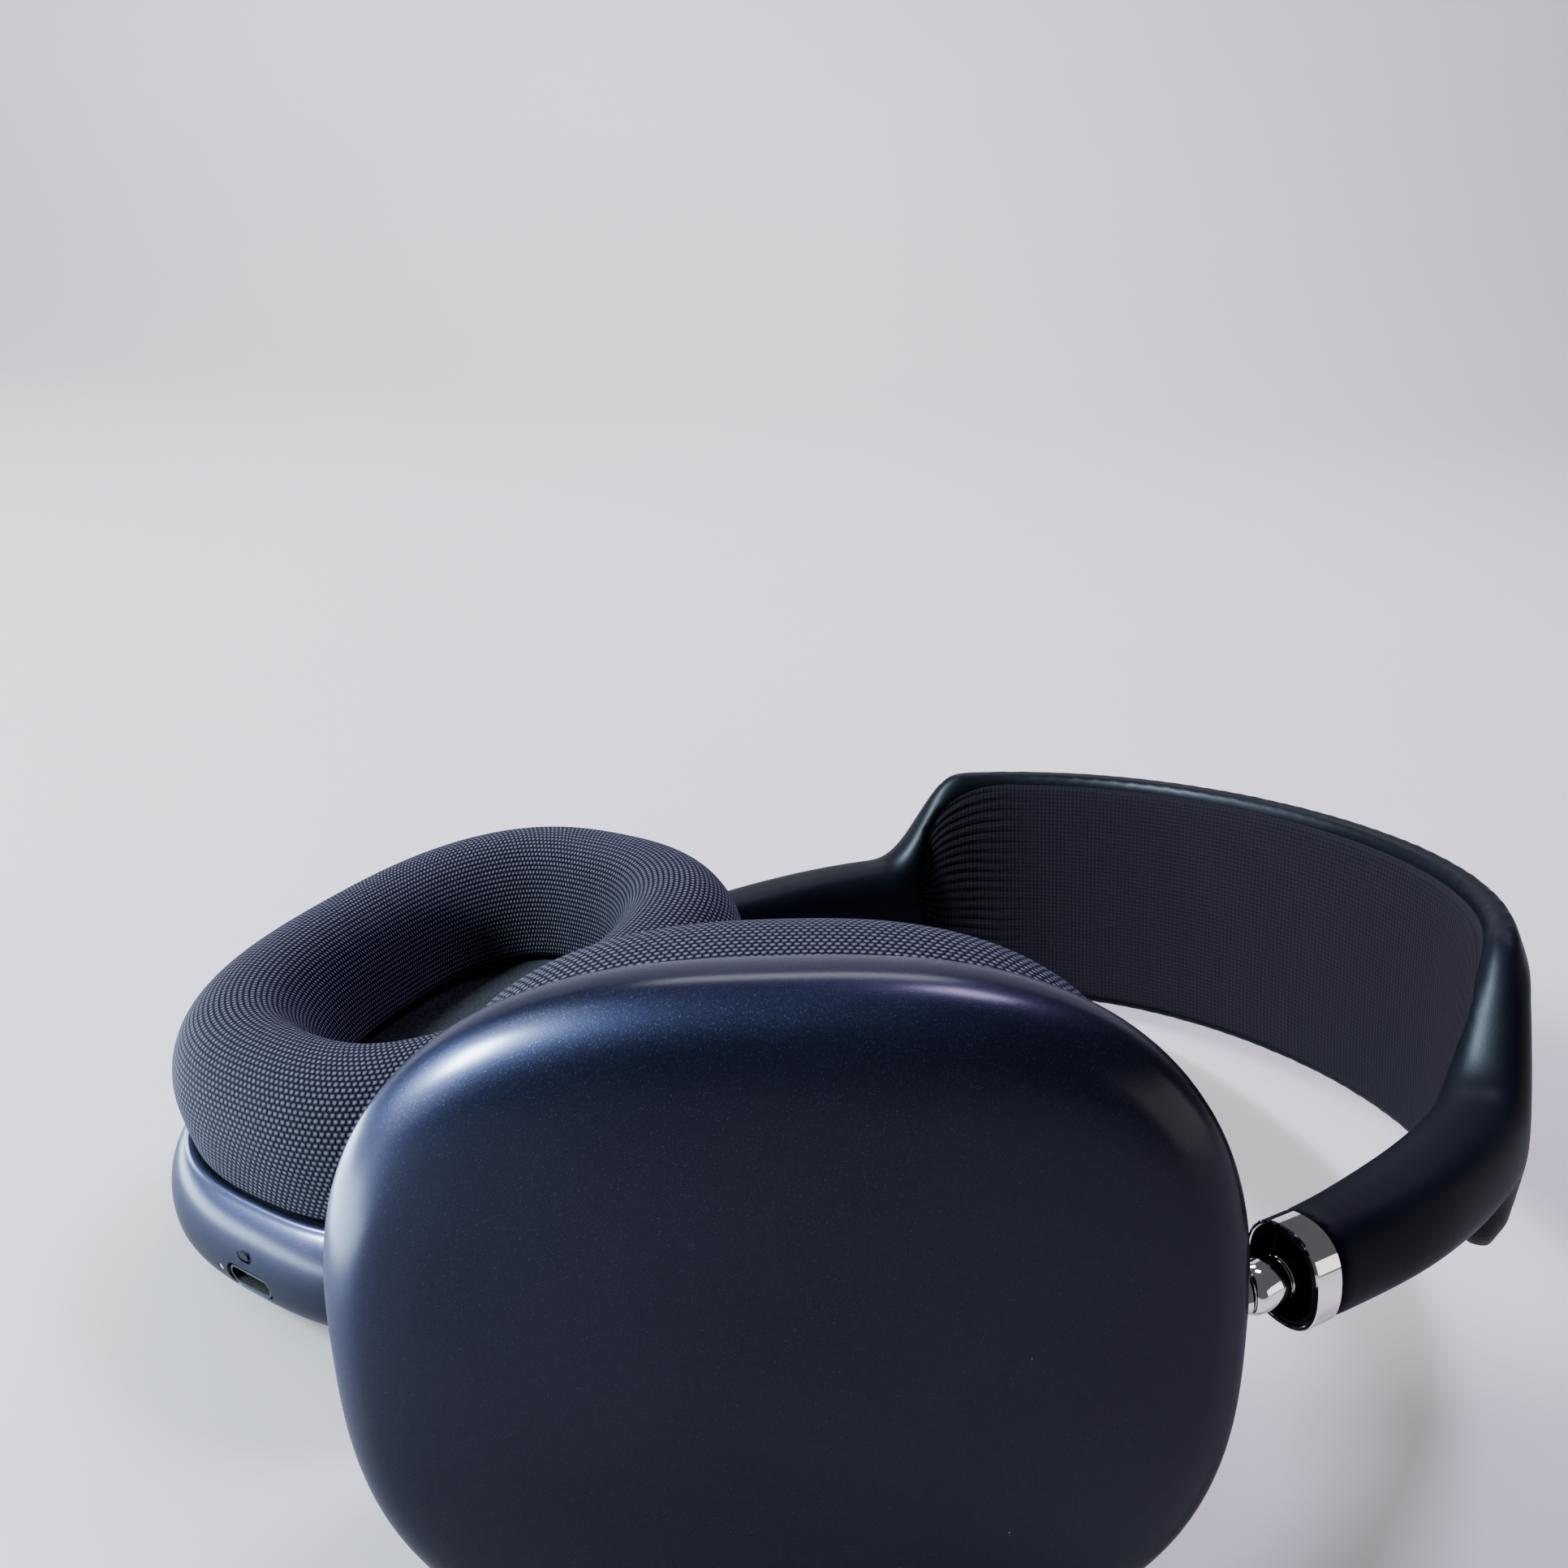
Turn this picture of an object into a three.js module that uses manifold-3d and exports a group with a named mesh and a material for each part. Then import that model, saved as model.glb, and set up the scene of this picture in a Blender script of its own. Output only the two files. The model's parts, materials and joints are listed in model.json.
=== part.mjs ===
// Over-ear headphones with a knit canopy, telescoping stems and two ear cups that swivel and tilt.
// They are modelled as they lie on a table: the left cup stands on its long edge, the right cup is
// swivelled flat with its cushion up. Millimetres, +Z up.
import * as THREE from "three";
import { mergeVertices } from "three/addons/utils/BufferGeometryUtils.js";
import Module from "manifold-3d";

const wasm = await Module();
wasm.setup();

// ---------------------------------------------------------------- driving dimensions

const GAP = 0.3; // clearance between neighbouring pieces

// Ear cup. Its frame: origin in the centre of the rim, x away from the head, z towards the headband.
const CUP = {
  halfLength: 48.3,
  halfWidth: 42.3,
  roundness: 2.7, // superellipse exponent of the outline
  depth: 19.2,
  widest: 9.7, // x of the widest outline
  edgeGrowth: 20, // how suddenly the round edge opens out into the gently domed face
  faceRoundness: 2.1, // exponent of the outline towards the middle of the face
  rimInset: 4.0, // how far the side curls in at the rim
  rimAngle: 1.2, // the part of a turn, in radians, that the side curls through
  wall: 1.5,
  segments: 36,
};

// Knit-covered foam ring.
const CUSHION = {
  roundness: 2.55,
  inset: 4.2, // from the cup's widest outline
  thickness: 21.2,
  opening: 24.6, // inset of the ear opening
  carrierOuter: 8,
  carrierInner: 23.6,
};

// Headband, seen in the worn frame: x to the wearer's right, y to the front, z up.
const BAND = {
  endX: 67.7, // half spacing of the arm ends
  endZ: -11.1,
  crownZ: 74.3,
  endLean: 0.08, // the arms lean in towards their ends, in radians
  endReach: 68, // Bezier handle at an arm end
  crownReach: 32, // Bezier handle at the crown
  railHalfSpan: 24.0,
  openingHalfSpan: 19.0,
  railThickness: 8.4,
  openingStart: 53, // distance along the band from an arm end
  openingRound: 20, // length of the opening's rounded end
  flareStart: 41,
  flareEnd: 61,
  stations: 22, // for each half
};

// The canopy's seat is a step in the rails, on the side towards the head.
const CANOPY = {
  seatWidth: 2.8,
  seatLevel: -2.1, // outwards from the band's centreline
  thickness: 0.8,
};

const ARM = {
  halfThickness: 5.3, // across the band's curve
  halfWidth: 6.1, // front to back
  ringLength: 3.6,
  ringWall: 0.5,
  recess: 3.2, // depth of the dark recess inside the end ring
  capLength: 4.7,
  boreDepth: 27,
};

const STEM = {
  radius: 2.5,
  elbowRadius: 2.8,
  pinDrop: 6.2, // from the bend in the stem down to the tilt pin
  bend: 0.3, // the swivel axis leans this much more than the arm end, in radians
  innerEnd: 26, // height of the inner end above the arm end, when retracted
  retracted: 0.6, // distance from the arm end to the bend, when retracted
  stopHeight: 1.2,
};

const PIN = { x: 6.0, drop: 4.0, radius: 1.0, halfLength: 4.0 }; // tilt pin in the cup

// The stored pose. swivel turns about the stem, tilt about the pin; drop is how far the stem is out.
const POSE = {
  left: { drop: 4.8, swivel: 4.2, tilt: 11.2 },
  right: { drop: STEM.retracted, swivel: -89.3, tilt: -9.25 },
  bandYaw: 34.1,
  bandRoll: -10.72,
};

// Controls and port on the right cup.
const CROWN = { y: -17, radius: 4.2, height: 2.7, teeth: 28 };
const NOISE_BUTTON = { y: 17, halfLength: 6.5, halfWidth: 2.3 };
const PORT = { halfWidth: 4.6, halfHeight: 1.6, depth: 7 };

// ---------------------------------------------------------------- materials

function finish(color, roughness, metalness) {
  return new THREE.MeshStandardMaterial({ color, roughness, metalness });
}

const MATERIALS = {
  anodised: finish(0x1c2436, 0.38, 0.85),
  softTouch: finish(0x10151f, 0.6, 0),
  knit: finish(0x2a3146, 0.9, 0),
  canopyKnit: finish(0x20242f, 0.9, 0),
  polishedSteel: finish(0xc8c4c2, 0.08, 1),
  blackPlastic: finish(0x0b0c0f, 0.5, 0),
  innerPlastic: finish(0x1a1b1e, 0.65, 0),
  board: finish(0x12402a, 0.55, 0),
  magnetSteel: finish(0x8d9094, 0.35, 1),
  diaphragm: finish(0x3a3a3c, 0.7, 0),
  battery: finish(0x9a9ca0, 0.5, 0.2),
  lens: finish(0xe8ece8, 0.2, 0),
};

// ---------------------------------------------------------------- solids

// A closed geometry as a solid facing out, whichever way its faces were wound.
function solid(geometry) {
  const bare = geometry.index ? geometry.clone() : mergeVertices(stripped(geometry));
  const merged = mergeVertices(stripped(bare), 1e-4);
  const triVerts = new Uint32Array(merged.index.array);
  const vertProperties = new Float32Array(merged.attributes.position.array);
  const made = new wasm.Manifold(new wasm.Mesh({ numProp: 3, vertProperties, triVerts }));
  if (made.volume() >= 0) return made;
  for (let i = 0; i < triVerts.length; i += 3) {
    [triVerts[i + 1], triVerts[i + 2]] = [triVerts[i + 2], triVerts[i + 1]];
  }
  return new wasm.Manifold(new wasm.Mesh({ numProp: 3, vertProperties, triVerts }));
}

function stripped(geometry) {
  const copy = geometry.clone();
  copy.deleteAttribute("normal");
  copy.deleteAttribute("uv");
  return copy;
}

function geometryOf(body) {
  const mesh = body.getMesh();
  const geometry = new THREE.BufferGeometry();
  geometry.setAttribute("position", new THREE.BufferAttribute(mesh.vertProperties, 3));
  geometry.setIndex(new THREE.BufferAttribute(mesh.triVerts, 1));
  geometry.computeVertexNormals();
  return geometry;
}

function join(first, ...others) {
  return others.reduce((all, other) => all.add(other), first);
}

function cut(first, ...tools) {
  return tools.reduce((left, tool) => left.subtract(tool), first);
}

// Strips of triangles between neighbouring sections, each a list of [x, y, z] of the same length.
function strips(sections, closed) {
  const count = sections[0].length;
  const index = [];
  const last = closed ? sections.length : sections.length - 1;
  for (let i = 0; i < last; i++) {
    const next = (i + 1) % sections.length;
    for (let j = 0; j < count; j++) {
      const k = (j + 1) % count;
      const [a, b] = [i * count + j, i * count + k];
      const [c, d] = [next * count + j, next * count + k];
      index.push(a, b, d, a, d, c);
    }
  }
  return index;
}

function indexed(points, index) {
  const geometry = new THREE.BufferGeometry();
  geometry.setAttribute("position", new THREE.Float32BufferAttribute(points.flat(), 3));
  geometry.setIndex(index);
  return geometry;
}

// A solid through the sections, closed by a fan at each end.
function loft(sections) {
  const count = sections[0].length;
  const points = sections.flat();
  const index = strips(sections, false);
  const lastStart = (sections.length - 1) * count;
  for (const [start, turned] of [[0, false], [lastStart, true]]) {
    const centre = points.length;
    const rim = points.slice(start, start + count);
    points.push([0, 1, 2].map((axis) => rim.reduce((sum, p) => sum + p[axis], 0) / count));
    for (let j = 0; j < count; j++) {
      const [a, b] = [start + j, start + ((j + 1) % count)];
      index.push(...(turned ? [centre, a, b] : [centre, b, a]));
    }
  }
  return solid(indexed(points, index));
}

// A solid ring through sections that follow each other all the way round.
function ring(sections) {
  return solid(indexed(sections.flat(), strips(sections, true)));
}

function moved(geometry, [x, y, z], [rx, ry, rz] = [0, 0, 0]) {
  const turn = new THREE.Quaternion().setFromEuler(new THREE.Euler(rx, ry, rz));
  const place = new THREE.Matrix4().compose(new THREE.Vector3(x, y, z), turn, new THREE.Vector3(1, 1, 1));
  return geometry.clone().applyMatrix4(place);
}

function block([x0, x1], [y0, y1], [z0, z1]) {
  const box = new THREE.BoxGeometry(x1 - x0, y1 - y0, z1 - z0);
  return solid(moved(box, [(x0 + x1) / 2, (y0 + y1) / 2, (z0 + z1) / 2]));
}

// A cylinder about the z axis, from z0 to z1.
function post(radius, z0, z1, segments = 18) {
  const cylinder = new THREE.CylinderGeometry(radius, radius, z1 - z0, segments);
  return solid(moved(cylinder, [0, 0, (z0 + z1) / 2], [Math.PI / 2, 0, 0]));
}

// A cylinder along y through (x, z).
function crossPost(radius, halfLength, x, z, segments = 16) {
  return solid(moved(new THREE.CylinderGeometry(radius, radius, 2 * halfLength, segments), [x, 0, z]));
}

// A [radius, height] outline turned about the z axis; an outline clear of the axis makes a ring.
function turned(outline, segments = 24) {
  const profile = outline.map(([radius, height]) => new THREE.Vector2(radius, height));
  if (outline[0][0] > 0) profile.push(profile[0].clone());
  return solid(moved(new THREE.LatheGeometry(profile, segments), [0, 0, 0], [Math.PI / 2, 0, 0]));
}

// The same, turned about the cup's x axis.
function turnedAboutX(outline, segments) {
  return solid(moved(geometryOf(turned(outline, segments)), [0, 0, 0], [0, Math.PI / 2, 0]));
}

// Points of a superellipse with half sizes y and z.
function outlineYZ(halfY, halfZ, exponent, count) {
  const power = 2 / exponent;
  return Array.from({ length: count }, (_, i) => {
    const angle = (2 * Math.PI * (i + 0.5)) / count;
    const [c, s] = [Math.cos(angle), Math.sin(angle)];
    return [
      halfY * Math.sign(c) * Math.abs(c) ** power,
      halfZ * Math.sign(s) * Math.abs(s) ** power,
    ];
  });
}

// A straight-sided pill along z: half sizes x and y, from z0 to z1.
function pill(halfX, halfY, z0, z1, segments = 20) {
  const long = Math.max(halfX, halfY) - Math.min(halfX, halfY);
  const radius = Math.min(halfX, halfY);
  const along = halfY > halfX ? [0, long] : [long, 0];
  const rim = Array.from({ length: segments }, (_, i) => {
    const angle = (2 * Math.PI * (i + 0.5)) / segments;
    const [c, s] = [Math.cos(angle), Math.sin(angle)];
    return [radius * c + Math.sign(c) * along[0], radius * s + Math.sign(s) * along[1]];
  });
  return loft([rim.map(([x, y]) => [x, y, z0]), rim.map(([x, y]) => [x, y, z1])]);
}

// ---------------------------------------------------------------- ear cup

// The cup's outline at one depth x, inset from its widest outline.
function cupSection(x, inset, roundness = CUP.roundness, segments = CUP.segments) {
  const rim = outlineYZ(CUP.halfWidth - inset, CUP.halfLength - inset, roundness, segments);
  return rim.map(([y, z]) => [x, y, z]);
}

const QUARTER = Math.PI / 2;

// How far in and up a curve has come after part of a quarter turn, when its radius grows with a power of the turn.
function growingCurve(turn, steps = 300) {
  let [inwards, upwards] = [0, 0];
  for (let i = 0; i < steps; i += 1) {
    const share = (turn * (i + 0.5)) / steps;
    const length = (share ** CUP.edgeGrowth * turn * QUARTER) / steps;
    inwards += length * Math.sin(share * QUARTER);
    upwards += length * Math.cos(share * QUARTER);
  }
  return [inwards, upwards];
}

// A place on the outer face's section, a round edge that opens out into a dome: the share of the outline that is
// left and the share of the height.
function faceSection(turn) {
  const span = (CUP.halfWidth + CUP.halfLength) / 2;
  const height = CUP.depth - CUP.widest;
  const [wholeIn, wholeUp] = growingCurve(1);
  const growth = (span - height) / (wholeIn - wholeUp);
  const edgeRadius = height - growth * wholeUp;
  const [inwards, upwards] = growingCurve(turn);
  const angle = turn * QUARTER;
  return [
    1 - (edgeRadius * (1 - Math.cos(angle)) + growth * inwards) / span,
    (edgeRadius * Math.sin(angle) + growth * upwards) / height,
  ];
}

// Sections of the cup from its rim over its side to the middle of its face, smaller by offset all round.
function cupSections(offset, turns) {
  const { widest, rimAngle, rimInset, depth, roundness, faceRoundness, segments } = CUP;
  const side = [1, 0.75, 0.4, 0].map((share) => {
    const angle = share * rimAngle;
    const x = widest * (1 - Math.sin(angle) / Math.sin(rimAngle));
    return cupSection(x, (rimInset * (1 - Math.cos(angle))) / (1 - Math.cos(rimAngle)) + offset);
  });
  const face = turns.map((turn) => {
    const [shrink, height] = faceSection(turn);
    const x = widest + (depth - offset - widest) * height;
    const power = faceRoundness + (roundness - faceRoundness) * shrink ** 2;
    const halves = [CUP.halfWidth, CUP.halfLength].map((half) => (half - offset) * shrink);
    return outlineYZ(...halves, power, segments).map(([y, z]) => [x, y, z]);
  });
  return [...side, ...face];
}

function cupOuter(offset = 0) {
  return loft(cupSections(offset, [0.25, 0.5, 0.75, 0.88, 0.94, 0.98]));
}

// The hollow of the cup, which runs out through the rim.
function cupHollow() {
  const inner = cupSections(CUP.wall, [0.35, 0.7, 0.9, 0.97]);
  const mouth = inner[0].map(([, y, z]) => [-1, y, z]);
  return loft([mouth, ...inner]);
}

const PIN_Z = CUP.halfLength - PIN.drop;
const SOCKET = { x: [2.0, 11.0], halfY: 4.4, wall: 0.8, below: 5.2 };

function slotBlock(grow, bottom) {
  const [x0, x1] = SOCKET.x;
  const halfY = SOCKET.halfY + grow;
  return block([x0 - grow, x1 + grow], [-halfY, halfY], [bottom, CUP.halfLength + 3]);
}

// Places a tool made about its own z axis on the cup's edge, at y, pointing out of the cup.
function edgeFrame(y, side = 1) {
  const share = Math.abs(y) / CUP.halfWidth;
  const power = CUP.roundness;
  const rest = 1 - share ** power;
  const height = CUP.halfLength * rest ** (1 / power);
  const slope = (CUP.halfLength / CUP.halfWidth) * share ** (power - 1) * rest ** (1 / power - 1);
  const lean = Math.atan(slope) * Math.sign(y);
  const frame = new THREE.Group();
  frame.position.set(CUP.widest, y, side * height);
  frame.rotation.x = side > 0 ? -lean : Math.PI + lean;
  frame.updateMatrix();
  return frame;
}

function inFrame(body, frame) {
  return solid(geometryOf(body).applyMatrix4(frame.matrix));
}

const CROWN_FRAME = edgeFrame(CROWN.y);
const NOISE_FRAME = edgeFrame(NOISE_BUTTON.y);
const PORT_FRAME = edgeFrame(0, -1);
const LENS_FRAME = edgeFrame(6.8, -1);
const MIC_X = 5.4;
const MIC = { halfWidth: 1.1, halfHeight: 0.6 };

function micTool(grow, low, high) {
  const oval = pill(MIC.halfHeight + grow, MIC.halfWidth + grow, low, high, 16);
  return solid(moved(geometryOf(oval), [MIC_X, 0, -CUP.halfLength]));
}

function earCupShell(side) {
  let shell = cut(cupOuter(), cupHollow(), slotBlock(0.35, CUP.halfLength - 8));
  shell = cut(shell, micTool(GAP, -1, 3));
  if (side === "left") return shell;
  const pocket = inFrame(post(CROWN.radius + 0.5, -1.1, 6, 28), CROWN_FRAME);
  const shaftHole = inFrame(post(1.5, -6, 6), CROWN_FRAME);
  const { halfWidth, halfLength } = NOISE_BUTTON;
  const buttonHole = inFrame(pill(halfWidth + GAP, halfLength + GAP, -6, 6), NOISE_FRAME);
  const portHole = inFrame(pill(PORT.halfHeight + GAP, PORT.halfWidth + GAP, -6, 6), PORT_FRAME);
  const lensHole = inFrame(post(0.8, -6, 6, 12), LENS_FRAME);
  return cut(shell, pocket, shaftHole, buttonHole, portHole, lensHole);
}

// The black liner of the slot that the stem goes into, with seats for the tilt pin.
function hingeSocket() {
  const [x0, x1] = SOCKET.x;
  const { wall, halfY, below } = SOCKET;
  const body = slotBlock(0, PIN_Z - below).intersect(cupOuter(0.5));
  const hollow = block(
    [x0 + wall, x1 - wall],
    [-halfY + wall, halfY - wall],
    [PIN_Z - below + 1.2, CUP.halfLength + 3],
  );
  return cut(body, hollow, crossPost(PIN.radius + GAP, halfY + 1, PIN.x, PIN_Z));
}

const BAFFLE = { x: [0.4, 1.6], inset: 5.3, driverHole: 20.5 };
const DRIVER_RADIUS = 20;

function baffle() {
  const plate = loft(BAFFLE.x.map((x) => cupSection(x, BAFFLE.inset)));
  const r = BAFFLE.driverHole;
  return cut(plate, turnedAboutX([[0, -2], [r, -2], [r, 4], [0, 4]], 36));
}

function driverBasket() {
  const r = DRIVER_RADIUS;
  const outline = [
    [r, 0.9], [r, 2.4], [r - 1.4, 2.6], [r - 6, 7.6], [r - 11, 7.6],
    [r - 11, 6.6], [r - 6.6, 6.6], [r - 2.4, 2.0], [r - 1.4, 0.9],
  ];
  return turnedAboutX(outline);
}

function driverDiaphragm() {
  const r = DRIVER_RADIUS - 2.8;
  const outline = [[0, 3.2], [6, 3.0], [9.5, 4.2], [r, 1.0], [r, 1.5], [9.5, 4.8], [6, 3.6], [0, 3.8]];
  return turnedAboutX(outline);
}

function driverMagnet() {
  return turnedAboutX([[0, 8], [11.4, 8], [12, 8.6], [12, 12], [11.4, 12.6], [0, 12.6]]);
}

function logicBoard() {
  const board = block([12.6, 13.4], [-15, 15], [-32, -14]);
  const chip = block([11.4, 12.8], [-6, 4], [-27, -18]);
  return join(board, chip);
}

function batteryCell(sign) {
  const rim = outlineYZ(5.4, 16, 6, 20);
  return loft([3.2, 9.6].map((x) => rim.map(([y, z]) => [x, y + sign * 28, z])));
}

function micGrille() {
  return micTool(0, 0.35, 1.8);
}

// ---------------------------------------------------------------- ear cushion

function cushionSections() {
  const { inset, thickness, opening, roundness, carrierOuter } = CUSHION;
  const seat = carrierOuter - 0.4;
  const profile = [
    [inset + 0.8, 0.5], [inset + 0.2, 4.0], [inset, 9.5], [inset + 1.2, 14.5], [inset + 4.4, 18.9],
    [inset + 9.6, thickness], [19, thickness - 1.2], [22.6, 17], [24.2, 10.5], [opening, 2.2],
    [seat, 2.2], [seat, 0.5],
  ];
  const rims = profile.map(([u, depth]) => cupSection(-depth, u, roundness, CUP.segments));
  return rims[0].map((_, i) => rims.map((rim) => rim[i]));
}

function cushionCarrier() {
  const { roundness, carrierOuter, carrierInner } = CUSHION;
  const corners = [[carrierOuter, 0.5], [carrierInner, 0.5], [carrierInner, 1.8], [carrierOuter, 1.8]];
  const rims = corners.map(([u, depth]) => cupSection(-depth, u, roundness, 40));
  return ring(rims[0].map((_, i) => rims.map((rim) => rim[i])));
}

function speakerScrim() {
  const inset = CUSHION.carrierInner + 0.4;
  return loft([-0.6, -1.1].map((x) => cupSection(x, inset, CUSHION.roundness, 40)));
}

// ---------------------------------------------------------------- stem and hinge

// A circle of the stem's elbow, at a height along an axis that leans in the x-z plane.
function elbowCircle(radius, height, lean) {
  return Array.from({ length: 18 }, (_, i) => {
    const angle = (2 * Math.PI * i) / 18;
    const [across, aside] = [radius * Math.cos(angle), radius * Math.sin(angle)];
    const [c, s] = [Math.cos(lean), Math.sin(lean)];
    return [across * c + height * s, aside, height * c - across * s];
  });
}

// Stem frame: origin where the stem bends, z up into the arm. The elbow below it leans by STEM.bend.
function stemBody(bendFrame) {
  const { radius, elbowRadius, innerEnd, retracted, stopHeight, bend } = STEM;
  const top = innerEnd + retracted;
  const shoulder = top - stopHeight - GAP;
  const rod = turned([
    [0, 1], [radius - 0.3, 1], [radius - 0.3, 4.1], [radius, 4.3],
    [radius, shoulder], [1.6, shoulder], [1.6, top], [0, top],
  ], 18);
  const elbow = loft([
    elbowCircle(elbowRadius - 0.3, 3.8, 0), elbowCircle(elbowRadius, 3.5, 0),
    elbowCircle(elbowRadius, 0.6, 0), elbowCircle(elbowRadius, 0, bend / 2),
    elbowCircle(elbowRadius - 0.2, -0.6, bend),
  ]);
  const bore = inFrame(post(1.5, -4, 3.4, 16), bendFrame);
  return cut(join(rod, elbow), bore);
}

// A collar round the stem's slim inner end, too wide to leave the guide.
function stemStop() {
  const top = STEM.innerEnd + STEM.retracted;
  return cut(post(2.7, top - STEM.stopHeight, top), post(1.9, 0, 90, 16));
}

// Yoke frame: origin in the bend of the stem, z up the swivel axis. The tilt pin crosses its barrel.
function swivelYoke() {
  const pinZ = -STEM.pinDrop;
  const barrel = crossPost(2.3, 3.1, 0, pinZ, 20);
  const shank = post(1.9, pinZ + 0.5, -1.7);
  const collar = post(2.7, -1.8, -0.9);
  const spigot = post(1.2, -1.2, 3.0, 16);
  return cut(join(barrel, shank, collar, spigot), crossPost(PIN.radius + GAP, 4, 0, pinZ));
}

function hingePin() {
  return crossPost(PIN.radius, PIN.halfLength, PIN.x, PIN_Z, 14);
}

// ---------------------------------------------------------------- headband

// Half of the band's centreline, from an arm end at x > 0 to the crown, in the x-z plane.
function halfBandCurve() {
  const { endX, endZ, crownZ, endLean, endReach, crownReach } = BAND;
  return new THREE.CubicBezierCurve(
    new THREE.Vector2(endX, endZ),
    new THREE.Vector2(endX + endReach * Math.sin(endLean), endZ + endReach * Math.cos(endLean)),
    new THREE.Vector2(crownReach, crownZ),
    new THREE.Vector2(0, crownZ),
  );
}

const HALF_BAND = halfBandCurve();
const HALF_LENGTH = HALF_BAND.getLength();
const smooth = (low, high, value) => THREE.MathUtils.smootherstep(value, low, high);

// A point of the band: distance s from the nearer end, side -1 or 1, offset across and outwards.
function bandPoint(s, side, across, outwards) {
  const at = Math.min(1, Math.max(0, s / HALF_LENGTH));
  const point = HALF_BAND.getPointAt(at);
  const tangent = HALF_BAND.getTangentAt(at);
  return [side * (point.x + tangent.y * outwards), across, point.y - tangent.x * outwards];
}

function bandHalfWidth(s) {
  const arm = ARM.halfWidth + 0.7 * smooth(0, BAND.flareStart, s);
  return arm + (BAND.railHalfSpan - arm) * smooth(BAND.flareStart, BAND.flareEnd, s);
}

function bandHalfThickness(s) {
  const rail = BAND.railThickness / 2;
  const arm = ARM.halfThickness + 0.7 * smooth(0, 24, s);
  return arm + (rail - arm) * smooth(BAND.flareStart, BAND.flareEnd, s);
}

function openingHalfWidth(s) {
  const share = Math.min(1, Math.max(0, (s - BAND.openingStart) / BAND.openingRound));
  return BAND.openingHalfSpan * (1 - (1 - share) ** 2.4) ** (1 / 2.4);
}

// The distances along the whole band of its stations, as [distance from the nearer end, side].
function bandStations(start, count) {
  const half = Array.from({ length: count }, (_, i) => start + ((HALF_LENGTH - start) * i) / count);
  return [...half.map((s) => [s, 1]), [HALF_LENGTH, 1], ...half.reverse().map((s) => [s, -1])];
}

function bandSections() {
  const start = ARM.ringLength + GAP;
  return bandStations(start, BAND.stations).map(([s, side]) => {
    const exponent = 2.4 + 0.8 * smooth(BAND.flareStart, BAND.flareEnd, s);
    const rim = outlineYZ(bandHalfWidth(s), bandHalfThickness(s), exponent, 16);
    return rim.map(([across, outwards]) => bandPoint(s, side, across, outwards));
  });
}

// A sheet that follows the band over its opening, between two offsets outwards.
function openingSheet(margin, low, high, count) {
  const start = BAND.openingStart + margin + 0.4;
  const sections = bandStations(start, count).map(([s, side]) => {
    const half = Math.max(0.5, openingHalfWidth(s - margin) - margin);
    const across = [-1, -0.5, 0, 0.5, 1].map((share) => share * half);
    const outer = across.map((y) => bandPoint(s, side, y, high));
    const inner = across.map((y) => bandPoint(s, side, y, low)).reverse();
    return [...outer, ...inner];
  });
  return loft(sections);
}

// The knit canopy, lying in its seat on the head side of the rails.
function canopySheet() {
  const { seatWidth, seatLevel, thickness } = CANOPY;
  const top = seatLevel - GAP;
  return openingSheet(2 * GAP - seatWidth, top - thickness, top, 12);
}

// A frame at an arm end, z up along the stem.
function armFrame() {
  const frame = new THREE.Group();
  frame.position.set(BAND.endX, 0, BAND.endZ);
  frame.rotation.y = BAND.endLean;
  frame.updateMatrix();
  return frame;
}

const GUIDE = { bottom: 5.0, top: 8.2, radius: 3.5 };

function headbandFrame() {
  const seat = openingSheet(-CANOPY.seatWidth, -12, CANOPY.seatLevel, 12);
  const band = cut(loft(bandSections()), openingSheet(0, -12, 12, 12), seat);
  const boreTool = join(
    post(GUIDE.radius + GAP, 0, GUIDE.top + 1),
    post(2.9, 0, ARM.boreDepth + STEM.retracted),
  );
  const right = inFrame(boreTool, armFrame());
  const left = solid(moved(geometryOf(right), [0, 0, 0], [0, 0, Math.PI]));
  return cut(band, right, left);
}

// Oval rings and plugs at an arm end, in its frame.
function ovalPost(shrink, z0, z1) {
  const rim = outlineYZ(ARM.halfThickness - shrink, ARM.halfWidth - shrink, 2.4, 28);
  return loft([z0, z1].map((z) => rim.map(([x, y]) => [x, y, z])));
}

function endRing() {
  return cut(ovalPost(0, 0, ARM.ringLength), ovalPost(ARM.ringWall, -1, ARM.ringLength + 1));
}

function armEndCap() {
  const outer = ARM.ringWall + GAP;
  const plug = join(ovalPost(outer, 0.1, ARM.ringLength), post(GUIDE.radius, 3, ARM.capLength));
  return cut(plug, ovalPost(outer + 0.5, -1, ARM.recess), post(STEM.radius + GAP, 0, 9));
}

function stemGuide() {
  const { bottom, top, radius } = GUIDE;
  return cut(post(radius, bottom, top), post(STEM.radius + 0.2, 0, 30));
}

// ---------------------------------------------------------------- controls and port

function crownKnob() {
  const { radius, height, teeth } = CROWN;
  const shape = new THREE.Shape();
  for (let i = 0; i < 2 * teeth; i++) {
    const angle = (Math.PI * i) / teeth;
    const r = i % 2 ? radius : radius - 0.25;
    const corner = [r * Math.cos(angle), r * Math.sin(angle)];
    if (i) shape.lineTo(...corner);
    else shape.moveTo(...corner);
  }
  shape.closePath();
  const body = solid(moved(new THREE.ExtrudeGeometry(shape, { depth: height, bevelEnabled: false }), [0, 0, -0.5]));
  return cut(body, post(1.4, -2, 1.3, 16));
}

function crownShaft() {
  return join(post(1.1, -6.5, 1.0, 16), post(2.4, -5.2, -4.4, 16));
}

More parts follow.
